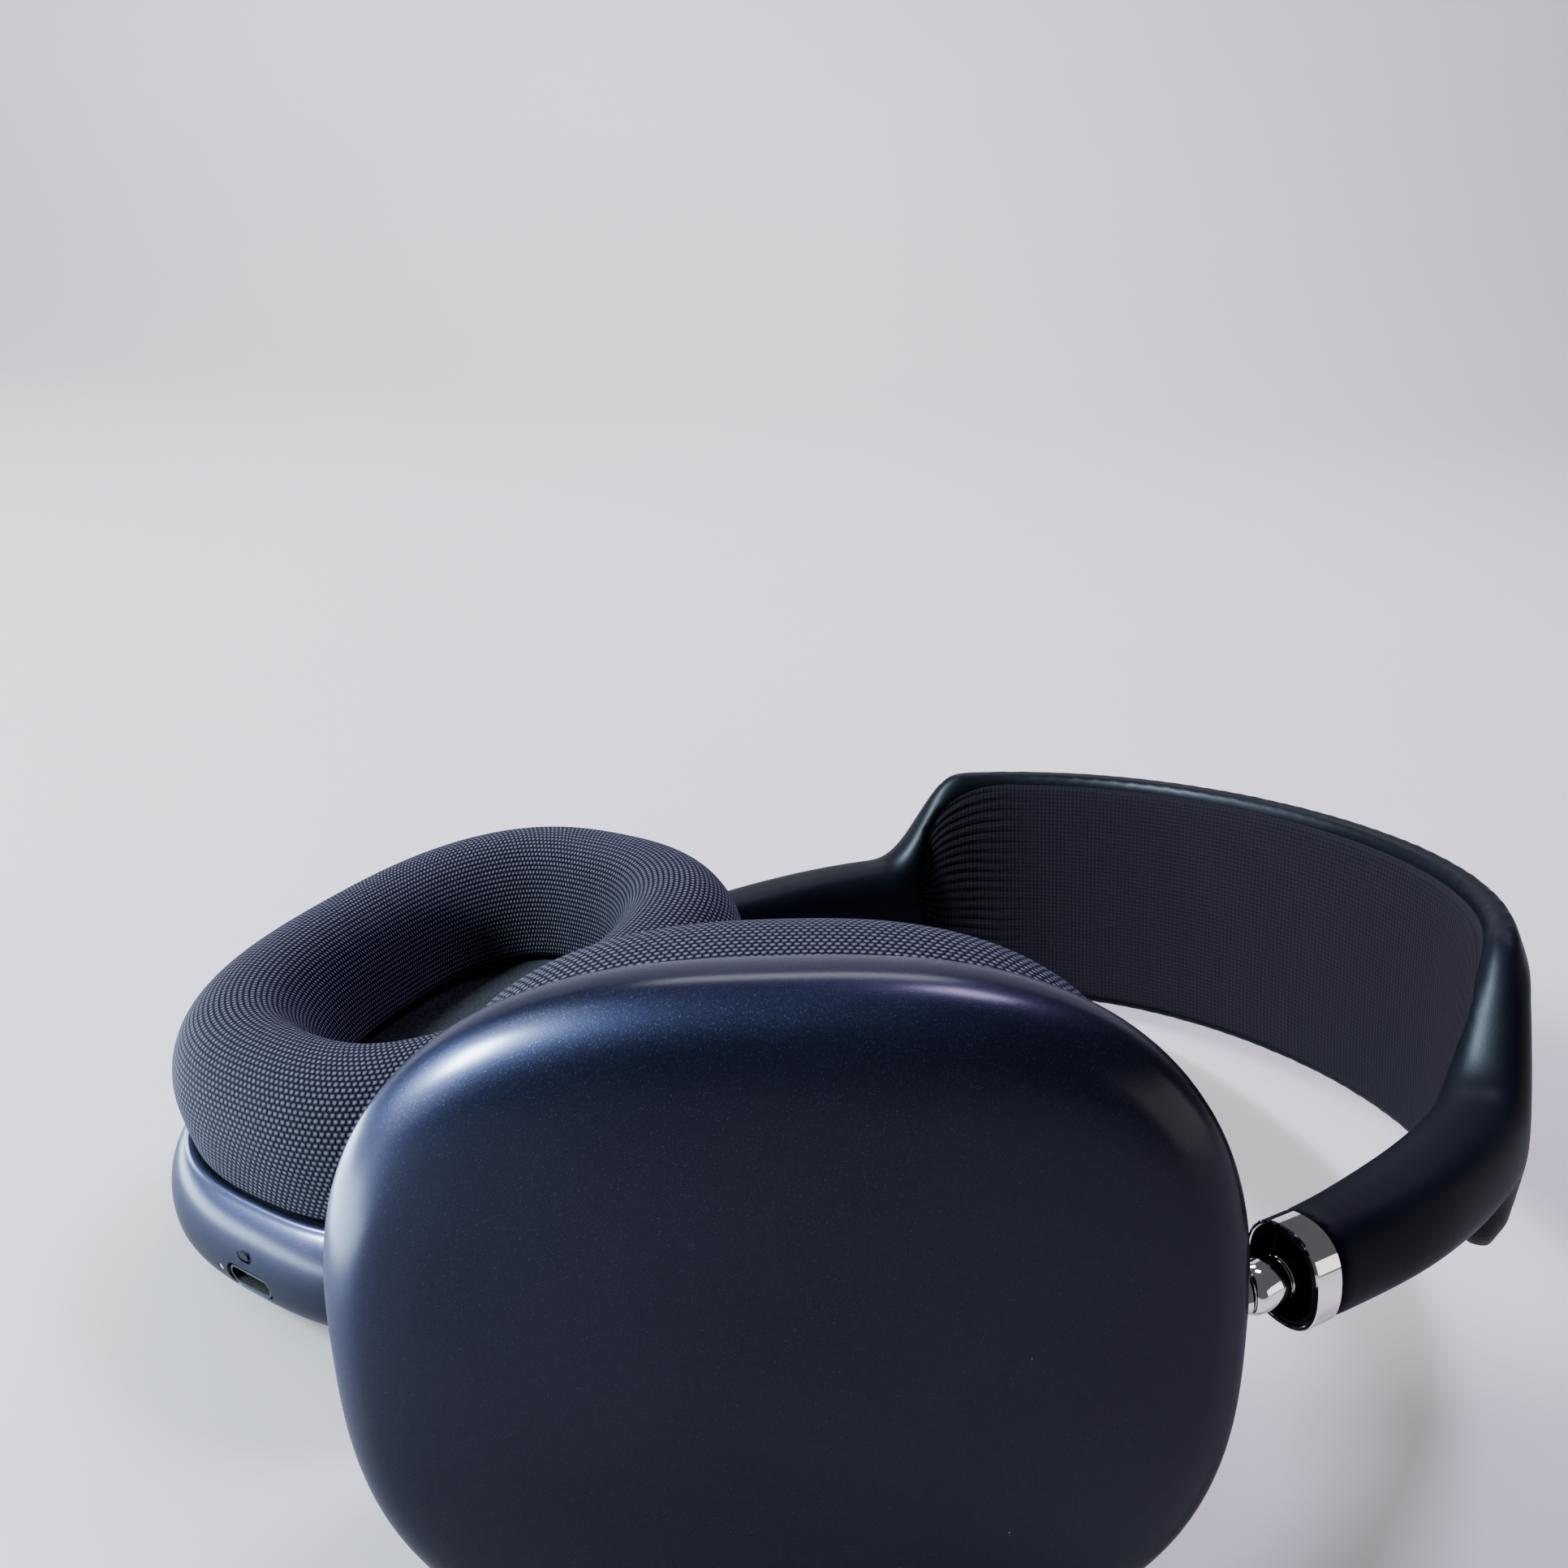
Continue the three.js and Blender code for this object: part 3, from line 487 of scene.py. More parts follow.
def polished_steel():
    n = Nodes("polished_steel", Metallic=1.0, Roughness=0.05)
    smudge = n.noise(240, 3.0)
    n.set("Base Color", n.mix(smudge, (0.66, 0.61, 0.60), (0.76, 0.72, 0.71)))
    n.set("Roughness", n.ramp(smudge, 0.4, 0.8, 0.03, 0.10))
    return n.material


def plastic(name, dark, light, roughness, scale=900):
    """Moulded plastic with a fine grain of the given scale."""
    n = Nodes(name, Specular_IOR_Level=0.15)
    grain = n.noise(scale, 3.0)
    n.set("Base Color", n.mix(grain, dark, light))
    n.set("Roughness", n.ramp(grain, 0.2, 0.8, roughness - 0.06, roughness + 0.06))
    n.bump(grain, 0.00004, 0.4)
    return n.material


def plain_metal():
    n = Nodes("plain_steel", Metallic=1.0)
    brushed = n.node("ShaderNodeMapping", {"Vector": n.coordinates(), "Scale": (200.0, 200.0, 4000.0)})
    streaks = n.noise(1.0, 3.0, where=brushed.outputs[0])
    n.set("Base Color", n.mix(streaks, (0.42, 0.43, 0.45), (0.6, 0.6, 0.62)))
    n.set("Roughness", n.ramp(streaks, 0.2, 0.8, 0.26, 0.42))
    return n.material


def scrim_mesh():
    """Open speaker cloth: a fine square mesh; its holes are painted near black as painted shade behind the
    cloth, and its dark threads are partly painted shade of the cup's dark inside.
    """
    n = Nodes("speaker_scrim", Roughness=0.9, Specular_IOR_Level=0.1)
    holes = n.node("ShaderNodeTexVoronoi", {"Vector": n.coordinates(), "Scale": 1400.0})
    thread = n.ramp(holes.outputs["Distance"], 0.25, 0.6)
    # Painted shade: the near-black holes and the very dark threads stand in for the shade inside the cup and
    # behind the cloth.
    n.set("Base Color", n.mix(thread, (0.001, 0.001, 0.002), (0.006, 0.007, 0.010)))
    n.bump(thread, 0.0001, 0.6)
    return n.material


def floor_material():
    n = Nodes("pale_floor", Roughness=0.7)
    cloud = n.noise(6.0, 2.0)
    n.set("Base Color", n.mix(cloud, (0.62, 0.60, 0.60), (0.66, 0.65, 0.64)))
    return n.material


MATERIAL = {
    "anodised": anodised(),
    "soft": soft_touch(),
    # The cushion's second colour is the near-black painted shade in the gaps between stitches.
    "cushion": knit("cushion_knit", (0.125, 0.13, 0.20), (0.003, 0.0035, 0.007), 0.0004),
    "canopy": canopy_knit(),
    "steel": polished_steel(),
    "black": plastic("black_plastic", (0.004, 0.004, 0.005), (0.010, 0.010, 0.012), 0.38),
    "inner": plastic("inner_plastic", (0.018, 0.018, 0.020), (0.030, 0.030, 0.033), 0.6),
    "metal": plain_metal(),
    "scrim": scrim_mesh(),
    "board": plastic("circuit_board", (0.012, 0.06, 0.035), (0.02, 0.09, 0.05), 0.45, 3000),
    "film": plastic("diaphragm_film", (0.05, 0.05, 0.052), (0.09, 0.09, 0.092), 0.4, 2000),
    "cell": plastic("battery_wrap", (0.38, 0.38, 0.40), (0.46, 0.46, 0.48), 0.4, 400),
    "lens": plastic("status_lens", (0.30, 0.32, 0.34), (0.38, 0.40, 0.42), 0.3),
}

# ---------------------------------------------------------------- ear cup shells


def placed(name, rows, place):
    return new_object(name, *capped_loft(rows), place)


def slot_cutter(place):
    """The opening that the stem goes into, with rounded corners."""
    levels = [(CUP_HALF_LENGTH - SLOT_DEPTH, 0), (CUP_HALF_LENGTH + 3, 0)]
    rows = pill(SLOT_HALF_WIDTH, SLOT_HALF_LENGTH, levels, 64)
    rows = [[(x + SLOT_X, y, z) for x, y, z in row] for row in rows]
    return placed("slot_tool", rows, place)


def mic_cutter(place):
    """The microphone's oval hole, with a soft edge."""
    mic = pill(MIC_HALF_HEIGHT, MIC_HALF_WIDTH, [(-3, 0), (-0.3, 0), (0.6, 0.5)])
    return placed("mic_tool", mic, place @ Matrix.Translation((MIC_X, 0, -CUP_HALF_LENGTH)))


def control_cutters(place):
    """Holes for the port, the noise button, the crown and the status lens, each with its running gap."""
    port_levels = [(-THROUGH, 0), (-0.35, 0), (0.6, 0.6)]
    port = pill(PORT_HALF_HEIGHT + 0.3, PORT_HALF_WIDTH + 0.3, port_levels)
    button_levels = [(-THROUGH, 0), (THROUGH, 0)]
    button = pill(BUTTON_HALF_WIDTH + 0.25, BUTTON_HALF_LENGTH + 0.25, button_levels)
    pocket_radius = CROWN_RADIUS + 0.45
    pocket = turned([
        (SHAFT_HOLE_RADIUS, -THROUGH), (SHAFT_HOLE_RADIUS, POCKET_FLOOR - 0.05),
        (pocket_radius, POCKET_FLOOR), (pocket_radius, THROUGH),
    ])
    lens = turned([(LENS_HOLE_RADIUS, -THROUGH), (LENS_HOLE_RADIUS, THROUGH)], 24)
    return [
        placed("port_tool", port, place @ edge_frame(0, -1)),
        placed("button_tool", button, place @ edge_frame(BUTTON_Y)),
        placed("crown_tool", pocket, place @ edge_frame(CROWN_Y)),
        placed("lens_tool", lens, place @ edge_frame(LENS_Y, -1)),
    ]


def ear_cup_shell(side):
    """One-piece cup: domed face, curled side, rounded lip and hollow; the right cup has the controls."""
    count, place = CUP_POINTS_AROUND, CUP[side]
    outer = cup_rows(0, count, 18, 56)
    inner = cup_rows(CUP_WALL, count, 10, 16)
    rows = outer[::-1] + lip_rows(count, CUP_RIM_INSET + CUP_WALL) + inner
    shell = placed(f"cup_shell_{side}", rows, place)
    cut(shell, slot_cutter(place), mic_cutter(place))
    if side == "right":
        cut(shell, *control_cutters(place))
    return finish_piece(
        shell, f"cup_{side}", "anodised_aluminium", MATERIAL["anodised"], f"ear_cup_shell_{side}", angle=40
    )


# ---------------------------------------------------------------- ear cushions

# The foam ring's section, as (inset from the cup's outline, depth from the rim).
CUSHION_SECTION = [
    (8.4, 0.6), (7.0, 0.5), (5.8, 0.5), (5.0, 0.9), (4.75, 1.9), (4.5, 4.0), (4.3, 6.8),
    (4.25, 9.9), (4.75, 12.9), (5.8, 15.6), (7.5, 18.1), (10.0, 20.1), (13.2, 21.1), (16.2, 21.1),
    (18.9, 19.9), (21.2, 17.4), (22.9, 14.2), (24.0, 10.4), (24.5, 6.4), (24.6, 2.2), (22.0, 2.0),
]


def spline(a, b, c, d, t):
    """A value between b and c on the smooth curve that passes through all four."""
    bend = (2 * a - 5 * b + 4 * c - d) * t * t + (3 * b - a - 3 * c + d) * t ** 3
    return 0.5 * (2 * b + (c - a) * t + bend)


def resample(section, count):
    """Evenly spaced points on a smooth curve through the section's points."""
    fine = []
    padded = [section[0], *section, section[-1]]
    for four in zip(padded, padded[1:], padded[2:], padded[3:]):
        fine += [tuple(spline(*values, i / 12) for values in zip(*four)) for i in range(12)]
    fine.append(section[-1])
    lengths = [0.0]
    for a, b in zip(fine, fine[1:]):
        lengths.append(lengths[-1] + math.dist(a, b))
    even, k = [], 0
    for i in range(count):
        target = lengths[-1] * i / (count - 1)
        while k < len(lengths) - 2 and lengths[k + 1] < target:
            k += 1
        share = (target - lengths[k]) / max(lengths[k + 1] - lengths[k], 1e-9)
        even.append(tuple(a + (b - a) * share for a, b in zip(fine[k], fine[k + 1])))
    return even, lengths[-1]


def cushion_grid(around, section):
    """Points and faces of the ring that the section makes round the cup's outline."""
    rows = [cup_row(-depth, inset, around, CUSHION_ROUNDNESS) for inset, depth in section]
    return [p for row in rows for p in row], grid_faces(len(rows), around)


def stitch_uv(obj, around, rows, stitches_around, stitches_along):
    """UV that counts stitches: U goes round the ring and V over its section."""
    layer = obj.data.uv_layers.new(name="stitches")
    for polygon in obj.data.polygons:
        corners = [obj.data.loops[k].vertex_index for k in polygon.loop_indices]
        columns = [v % around for v in corners]
        wraps = max(columns) - min(columns) > around / 2
        for loop, vertex, column in zip(polygon.loop_indices, corners, columns):
            turn = column + around if wraps and column < around / 2 else column
            u = turn / around * stitches_around
            v = (vertex // around) / (rows - 1) * stitches_along
            layer.data[loop].uv = (u, v)


def inflate(obj, pinned, limit):
    """Swells the cover with Blender's cloth, keeping the pinned rows where they are."""
    start = [v.co.copy() for v in obj.data.vertices]
    group = obj.vertex_groups.new(name="pinned")
    group.add(pinned, 1.0, "REPLACE")
    cloth = obj.modifiers.new("cloth", "CLOTH")
    settings = cloth.settings
    settings.quality = 5
    settings.mass = 0.2
    settings.tension_stiffness = settings.compression_stiffness = 25
    settings.shear_stiffness = 10
    settings.bending_stiffness = 1.5
    settings.use_pressure = True
    settings.uniform_pressure_force = SWELL_PRESSURE
    settings.effector_weights.gravity = 0
    settings.vertex_group_mass = "pinned"
    cloth.collision_settings.use_collision = False
    scene = bpy.context.scene
    for step in range(SWELL_FRAMES):
        scene.frame_set(step + 1)
    graph = bpy.context.evaluated_depsgraph_get()
    swollen = obj.evaluated_get(graph).data
    moved = [v.co.copy() for v in swollen.vertices]
    obj.modifiers.clear()
    obj.vertex_groups.clear()
    scene.frame_set(1)
    for vertex, old, new in zip(obj.data.vertices, start, moved):
        shift = new - old
        if shift.length > limit:
            shift *= limit / shift.length
        vertex.co = old + shift


def ear_cushion(side):
    """Knit-covered foam ring: swollen by cloth pressure between the rows that sit in the cup."""
    around, count = CUSHION_AROUND, CUSHION_ROWS
    section, length = resample(CUSHION_SECTION, count)
    cushion = new_object(f"cushion_{side}", *cushion_grid(around, section), CUP[side])
    stitch_uv(cushion, around, count, STITCHES_AROUND, round(length / STITCH_ROW))
    pinned = [*range(3 * around), *range((count - 3) * around, count * around)]
    inflate(cushion, pinned, SWELL_LIMIT * MM)
    subdivide(cushion)
    finish_piece(
        cushion, f"cushion_{side}", "cushion_knit", MATERIAL["cushion"], f"ear_cushion_{side}", angle=80
    )
    return cushion


# ---------------------------------------------------------------- headband


def bezier(t):
    """A point (x, z) of half the band's centreline; t runs from the arm end to the crown."""
    ends = [
        (END_X, END_Z),
        (END_X + END_REACH * math.sin(END_LEAN), END_Z + END_REACH * math.cos(END_LEAN)),
        (CROWN_REACH, CROWN_Z),
        (0.0, CROWN_Z),
    ]
    weights = [(1 - t) ** 3, 3 * t * (1 - t) ** 2, 3 * t * t * (1 - t), t ** 3]
    return tuple(sum(w * p[k] for w, p in zip(weights, ends)) for k in range(2))


def band_table(steps=400):
    """Half of the band's centreline as (distance, x, z) rows."""
    rows, total, before = [], 0.0, bezier(0)
    for i in range(steps + 1):
        point = bezier(i / steps)
        total += math.dist(point, before)
        rows.append((total, *point))
        before = point
    return rows


BAND_TABLE = band_table()
HALF_LENGTH = BAND_TABLE[-1][0]


def band_point(s, side, across, outwards):
    """A point of the band at distance s from the nearer arm end."""
    s = min(max(s, 0.0), HALF_LENGTH)
    last = len(BAND_TABLE) - 2
    k = min(last, next((i for i in range(last + 1) if BAND_TABLE[i + 1][0] >= s), last))
    (s0, x0, z0), (s1, x1, z1) = BAND_TABLE[k], BAND_TABLE[k + 1]
    share = (s - s0) / (s1 - s0)
    lean = math.atan2(x1 - x0, z1 - z0)
    if s >= HALF_LENGTH:
        lean = -math.pi / 2
    x, z = x0 + (x1 - x0) * share, z0 + (z1 - z0) * share
    return (side * (x + math.cos(lean) * outwards), across, z - math.sin(lean) * outwards)


def ease(low, high, value):
    """0 below low, 1 above high, and a smooth passage between."""
    t = min(max((value - low) / (high - low), 0.0), 1.0)
    return t ** 3 * (t * (6 * t - 15) + 10)


def band_half_width(s):
    arm = ARM_HALF_WIDTH + ARM_SWELL * ease(0, FLARE_START, s)
    return arm + (RAIL_HALF_SPAN - arm) * ease(FLARE_START, FLARE_END, s)


def band_half_thickness(s):
    arm = ARM_HALF_THICKNESS + ARM_SWELL * ease(0, ARM_SWELL_LENGTH, s)
    return arm + (RAIL_HALF_THICKNESS - arm) * ease(FLARE_START, FLARE_END, s)


def opening_half_width(s):
    share = min(max((s - OPENING_START) / OPENING_ROUND, 0.0), 1.0)
    return OPENING_HALF_SPAN * (1 - (1 - share) ** 2.4) ** (1 / 2.4)


def stations(start, count):
    """Places (distance, side) along the whole band, from one arm over the crown to the other."""
    half = [start + (HALF_LENGTH - start) * i / count for i in range(count)]
    return [(s, 1) for s in half] + [(HALF_LENGTH, 1)] + [(s, -1) for s in reversed(half)]


def band_row(s, side, count=48):
    power = 2.4 + 0.8 * ease(FLARE_START, FLARE_END, s)
    rim = outline(band_half_width(s), band_half_thickness(s), power, count)
    return [band_point(s, side, across, outwards) for across, outwards in rim]


def opening_row(s, side, margin, low, high, count=24):
    """A row of the tool that cuts the opening between the rails, smaller by margin."""
    half = max(0.4, opening_half_width(s - margin) - margin)
    shares = [2 * k / (count - 1) - 1 for k in range(count)]
    outer = [band_point(s, side, half * share, high) for share in shares]
    inner = [band_point(s, side, half * share, low) for share in reversed(shares)]
    return outer + inner


def headband():
    """One sleeve for both arms and both rails, with the opening and the canopy's seat cut into it."""
    start = RING_LENGTH + 0.15
    rows = [band_row(s, side) for s, side in stations(start, 90)]
    band = placed("headband_sleeve", rows, BAND)
    for margin, top in ((0, 12), (-SEAT_WIDTH, SEAT_LEVEL)):
        places = stations(OPENING_START + margin + 0.2, 60)
        tool_rows = [opening_row(s, side, margin, -12, top) for s, side in places]
        cut(band, placed("opening_tool", tool_rows, BAND))
    remesh = band.modifiers.new("remesh", "REMESH")
    remesh.mode = "VOXEL"
    remesh.voxel_size = 0.6 * MM
    soften = band.modifiers.new("soften", "SMOOTH")
    soften.factor = 0.5
    soften.iterations = 22
    bake(band)
    return finish_piece(band, "headband", "soft_touch_sleeve", MATERIAL["soft"], "headband_frame", angle=180)


def canopy_half_width(s):
    return opening_half_width(s + SEAT_WIDTH) + SEAT_WIDTH - 0.25


def canopy_points(along, across):
    """Two layers of points, across the opening and along the band; the middle dips towards the head."""
    points = []
    for level in (SEAT_LEVEL - 0.25, SEAT_LEVEL - 0.25 - CANOPY_THICKNESS):
        for s, side in along:
            half = canopy_half_width(s)
            for k in range(across):
                share = 2 * k / (across - 1) - 1
                tuck = 0.35 * abs(share) ** 12
                dip = 0.5 * (1 - share * share)
                points.append(band_point(s, side, half * share, level - dip + tuck))
    return points


def canopy_faces(rows, across):
    """Faces of both layers and of the edge that joins them."""
    layer, last = rows * across, rows - 1
    faces = grid_faces(rows, across, wrap_columns=False)
    faces += [tuple(v + layer for v in face) for face in faces]
    border = list(range(across))
    border += [i * across + across - 1 for i in range(1, last + 1)]
    border += [last * across + k for k in range(across - 2, -1, -1)]
    border += [i * across for i in range(last - 1, 0, -1)]
    faces += [(a, b, b + layer, a + layer) for a, b in zip(border, border[1:] + border[:1])]
    return faces


def canopy_uv(sheet, along, across):
    """UV in millimetres: U across the canopy and V along it, both from its middle."""
    layer = len(along) * across
    uv = sheet.data.uv_layers.new(name="stitches")
    for polygon in sheet.data.polygons:
        for loop in polygon.loop_indices:
            vertex = sheet.data.loops[loop].vertex_index % layer
            station, column = divmod(vertex, across)
            s, side = along[station]
            share = 2 * column / (across - 1) - 1
            uv.data[loop].uv = (share * (OPENING_HALF_SPAN + SEAT_WIDTH), side * (HALF_LENGTH - s))


def canopy():
    """The knit stretched between the rails: a thin closed sheet in its seat."""
    start, across = OPENING_START - SEAT_WIDTH + 0.6, 44
    along = stations(start, 80)
    points = canopy_points(along, across)
    sheet = new_object("canopy_knit", points, canopy_faces(len(along), across), BAND)
    canopy_uv(sheet, along, across)
    finish_piece(sheet, "headband", "canopy_knit", MATERIAL["canopy"], "canopy_mesh", angle=80)
    return sheet


# ---------------------------------------------------------------- arm ends and stems


def oval(shrink, z):
    """The arm's outline, drawn in by shrink, at height z over its end."""
    rim = outline(ARM_HALF_THICKNESS - shrink, ARM_HALF_WIDTH - shrink, 2.4, 96)
    return [(x, y, z) for x, y in rim]


def ring_body(name, rows, place):
    """A closed ring through rows of points that follow its section round."""
    points = [p for row in rows for p in row]
    return new_object(name, points, grid_faces(len(rows), len(rows[0]), wrap_rows=True), place)


def end_ring(side):
    section = [
        (0.12, 0.0), (0.0, 0.12), (0.0, RING_LENGTH - 0.12), (0.12, RING_LENGTH),
        (0.5, RING_LENGTH), (0.5, 0.1), (0.4, 0.0),
    ]
    made = ring_body(f"end_ring_{side}_polished", [oval(u, z) for u, z in section], arm_frame(side))
    return finish_piece(made, "headband", "polished_steel", MATERIAL["steel"], f"end_ring_{side}")


def arm_end_cap(side):
    """Black lining of the arm's end: a short tube with a floor that the stem comes out of."""
    inside = [oval(0.62, 0.1), oval(0.62, 3.6), oval(1.4, 3.6)]
    recess = [oval(1.1, 0.1), oval(1.15, 2.9), oval(1.5, 3.2)]
    hole = turned([(STEM_RADIUS + 0.35, 3.2), (STEM_RADIUS + 0.3, 4.7), (3.5, 4.7), (3.5, 3.6)], 96)
    rows = [*inside, *reversed(hole), *reversed(recess)]
    made = ring_body(f"arm_end_cap_{side}_moulded", rows, arm_frame(side))
    return finish_piece(made, "headband", "black_plastic", MATERIAL["black"], f"arm_end_cap_{side}", angle=50)


def elbow_row(radius, height, lean, segments=64):
    """A circle round the stem, leaned over by the stem's bend."""
    row = []
    for j in range(segments):
        angle = 2 * math.pi * j / segments
        across, aside = radius * math.cos(angle), radius * math.sin(angle)
        x = across * math.cos(lean) + height * math.sin(lean)
        z = height * math.cos(lean) - across * math.sin(lean)
        row.append((x, aside, z))
    return row


def stem(side):
    """Polished tube with a groove above a rounded elbow."""
    r, e = STEM_RADIUS, ELBOW_RADIUS
    rows = [
        elbow_row(radius, height, lean)
        for radius, height, lean in [
            (1.5, -0.55, STEM_BEND), (e - 0.45, -0.6, STEM_BEND), (e - 0.15, -0.4, STEM_BEND),
            (e, 0.0, STEM_BEND * 0.75), (e, 0.8, STEM_BEND * 0.4), (e, 1.8, 0), (e, 3.1, 0),
            (e - 0.08, 3.5, 0), (e - 0.3, 3.75, 0), (r - 0.3, 3.8, 0), (r - 0.3, 4.1, 0), (r - 0.06, 4.15, 0),
            (r, 4.3, 0), (r, STEM_TOP - 1.6, 0), (1.6, STEM_TOP - 1.5, 0), (1.6, STEM_TOP, 0),
        ]
    ]
    made = placed(f"stem_{side}_polished", rows, stem_frame(side))
    return finish_piece(made, f"stem_{side}", "polished_steel", MATERIAL["steel"], f"stem_{side}", angle=50)


# ---------------------------------------------------------------- controls and port


def crown_row(height, inset, knurl):
    """One row of the knob; knurl is 1 where the teeth are and 0 elsewhere."""
    count = CROWN_TEETH * CROWN_POINTS_PER_TOOTH
    row = []
    for j in range(count):
        tooth = CROWN_TOOTH_DEPTH * knurl * math.cos(2 * math.pi * j / CROWN_POINTS_PER_TOOTH)
        radius = CROWN_RADIUS - inset + tooth
        angle = 2 * math.pi * j / count
        row.append((radius * math.cos(angle), radius * math.sin(angle), height))
    return row


def crown():
    """Knurled knob with a rounded top edge."""
    rows = [crown_row(*level) for level in [
        (-0.45, 0.3, 0), (-0.4, 0.1, 0), (-0.2, 0.1, 1), (1.75, 0.1, 1),
        (1.95, 0.15, 0), (2.1, 0.35, 0), (2.2, 0.8, 0),
    ]]
    made = placed("crown_knurled", rows, CUP["right"] @ edge_frame(CROWN_Y))
    return finish_piece(
        made, "crown_knob", "anodised_aluminium", MATERIAL["anodised"], "crown_knob", angle=50
    )


def noise_button():
    """Straight pill with a softened top edge."""
    levels = [(-6.2, 0), (0.25, 0), (0.42, -0.06), (0.5, -0.25)]
    rows = pill(BUTTON_HALF_WIDTH, BUTTON_HALF_LENGTH, levels, 96)
    made = placed("noise_button_pill", rows, CUP["right"] @ edge_frame(BUTTON_Y))
    return finish_piece(
        made, "noise_button", "anodised_aluminium", MATERIAL["anodised"], "noise_button", angle=50
    )


# ---------------------------------------------------------------- CAD pieces that keep their shape

# The start of each node's name, and its material.
CARRIED = {
    "stem_guide": "inner", "stem_stop": "inner", "swivel_yoke": "steel", "hinge_pin": "metal",
    "hinge_socket": "black", "baffle": "black", "driver_basket": "metal", "driver_magnet": "metal",
    # mic_grille and speaker_scrim take the scrim look, painted near black partly as shade in the microphone
    # hole and inside the cup.
    "driver_diaphragm": "film", "logic_board": "board", "battery_cell": "cell", "mic_grille": "scrim",
    "crown_shaft": "metal", "charging_port_shell": "black", "charging_port_tongue": "steel",
    "status_lens": "lens", "speaker_scrim": "scrim", "cushion_carrier": "black",
}


def dress_carried_nodes():
    for name, node in frame["nodes"].items():
        look = next((key for start, key in CARRIED.items() if name.startswith(start)), None)
        if look and not node.hide_render:
            node.data.materials.clear()
            node.data.materials.append(MATERIAL[look])


# ---------------------------------------------------------------- stage, light and camera


FLOOR_REACH, FLOOR_BACK, CURVE_RADIUS, WALL_TOP, CURVE_STEPS = 2.5, 0.8, 0.3, 0.42, 16  # metres


def stage():
    """A pale floor that curves up into a wall far behind the headphones."""
    profile = [(-FLOOR_REACH, 0.0), (FLOOR_BACK, 0.0)]
    for i in range(1, CURVE_STEPS + 1):
        angle = math.pi / 2 * i / CURVE_STEPS
        profile.append((FLOOR_BACK + CURVE_RADIUS * math.sin(angle), CURVE_RADIUS * (1 - math.cos(angle))))
    profile.append((FLOOR_BACK + CURVE_RADIUS, WALL_TOP))
    points = [(x, y, z) for y, z in profile for x in (-FLOOR_REACH, FLOOR_REACH)]
    sweep = new_object("floor", points, grid_faces(len(profile), 2, wrap_columns=False), Matrix.Identity(4))
    sweep.data.shade_smooth()
    sweep.data.materials.append(floor_material())


def area_light(name, ends, width, target, power, colour):
    """A long soft light between two ends, facing the target."""
    start, end, target = Vector(ends[0]), Vector(ends[1]), Vector(target)
    middle = (start + end) / 2
    z = (middle - target).normalized()
    x = end - start
    x = (x - z * x.dot(z)).normalized()
    data = bpy.data.lights.new(name, "AREA")
    data.shape = "RECTANGLE"
    data.size, data.size_y = (end - start).length, width
    data.energy = power
    data.color = colour
    light = bpy.data.objects.new(name, data)
    light.matrix_world = Matrix.Translation(middle) @ Matrix((x, z.cross(x), z)).transposed().to_4x4()
    bpy.context.scene.collection.objects.link(light)
    return light


# Lights as (name, ends, width, power, colour), with the places in metres.
WINDOW_LIGHTS = [
    ("window", ((-0.98, -0.62, 0.08), (-0.62, 0.42, 0.92)), 0.55, 11, (0.94, 0.97, 1.0)),
    ("back_window", ((-0.35, 0.95, 0.75), (0.25, 0.95, 0.8)), 0.3, 8, (0.96, 0.97, 1.0)),
    ("soft_key", ((-0.98, -0.25, 0.62), (-0.95, -0.05, 0.80)), 0.2, 18, (0.92, 0.97, 1.0)),
]
FILL_LIGHTS = [
    ("right_wall", ((0.95, -0.75, 0.25), (1.0, 0.2, 0.25)), 0.4, 3, (1.0, 0.93, 0.92)),
    ("lamp", ((0.18, 0.50, 1.02), (0.44, 0.40, 1.02)), 0.2, 13, (0.74, 0.62, 1.0)),
]


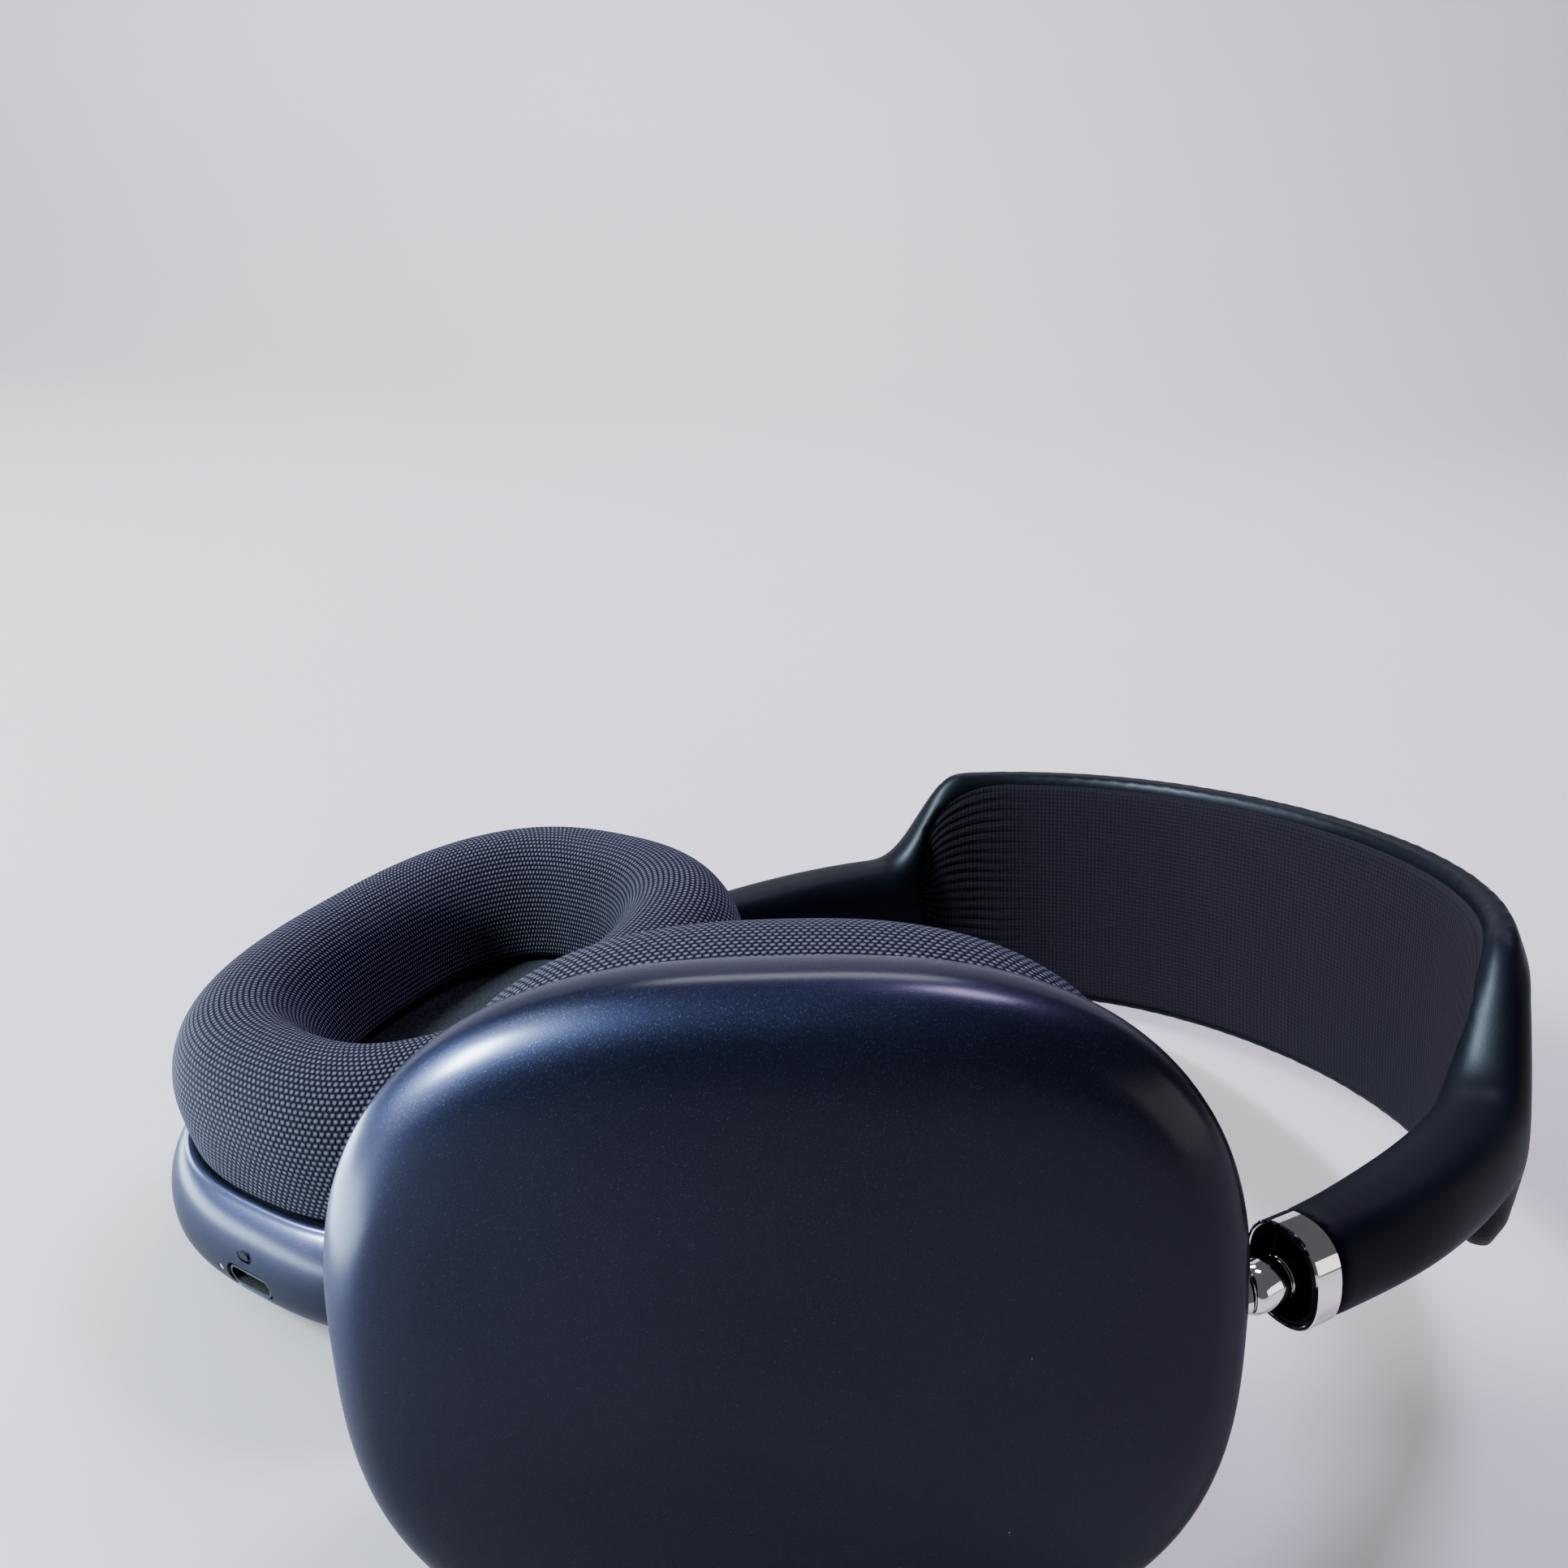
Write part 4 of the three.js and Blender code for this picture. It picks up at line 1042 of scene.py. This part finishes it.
def mirrored_lights(target):
    """Lights that only show as reflections: a bright pane, and the lit floor beside the right cup."""
    pane_ends = ((-0.98, -0.30, 0.60), (-0.95, -0.04, 0.82))
    pane = area_light("bright_pane", pane_ends, 0.2, target, 260, (0.60, 0.80, 1.0))
    glow_ends = ((-0.22, -0.16, 0.001), (-0.22, 0.06, 0.001))
    glow = area_light("floor_glow", glow_ends, 0.16, (-0.22, -0.05, 0.5), 6.5, (0.62, 0.80, 1.0))
    for light in (pane, glow):
        light.visible_diffuse = False
    glow.visible_camera = False


def area_lights(rows, target):
    for name, ends, width, power, colour in rows:
        area_light(name, ends, width, target, power, colour)


def lights():
    """The order the lights are made in sets the render's sampling."""
    target = (-0.02, 0.0, 0.06)
    area_lights(WINDOW_LIGHTS, target)
    mirrored_lights(target)
    area_lights(FILL_LIGHTS, target)
    world = bpy.data.worlds.new("soft_room")
    world.use_nodes = True
    background = world.node_tree.nodes["Background"]
    background.inputs["Color"].default_value = (0.80, 0.84, 0.95, 1)
    background.inputs["Strength"].default_value = 0.16
    bpy.context.scene.world = world


CAMERA_FROM_BAND = Vector((-30.14, -184.54, 122.35)) * MM
CAMERA_PITCH, CAMERA_ROLL = math.radians(23.72), math.radians(-3.51)
CAMERA_LENS, SENSOR_WIDTH = 32.56, 36.0


def camera():
    """Looks along the floor's y axis, pitched down and rolled a little."""
    p, r = CAMERA_PITCH, CAMERA_ROLL
    level_right, level_down = Vector((1, 0, 0)), Vector((0, -math.sin(p), -math.cos(p)))
    forward = Vector((0, math.cos(p), -math.sin(p)))
    right = level_right * math.cos(r) + level_down * math.sin(r)
    down = level_down * math.cos(r) - level_right * math.sin(r)
    data = bpy.data.cameras.new("camera")
    data.lens, data.sensor_width, data.clip_start = CAMERA_LENS, SENSOR_WIDTH, 0.01
    made = bpy.data.objects.new("camera", data)
    turn = Matrix((right, -down, -forward)).transposed().to_4x4()
    made.matrix_world = Matrix.Translation(BAND.translation + CAMERA_FROM_BAND) @ turn
    bpy.context.scene.collection.objects.link(made)
    bpy.context.scene.camera = made


# ---------------------------------------------------------------- the scene

camera()
lights()
stage()
headband()
canopy()
for side in SIDES:
    ear_cup_shell(side)
    ear_cushion(side)
    end_ring(side)
    arm_end_cap(side)
    stem(side)
crown()
noise_button()
dress_carried_nodes()
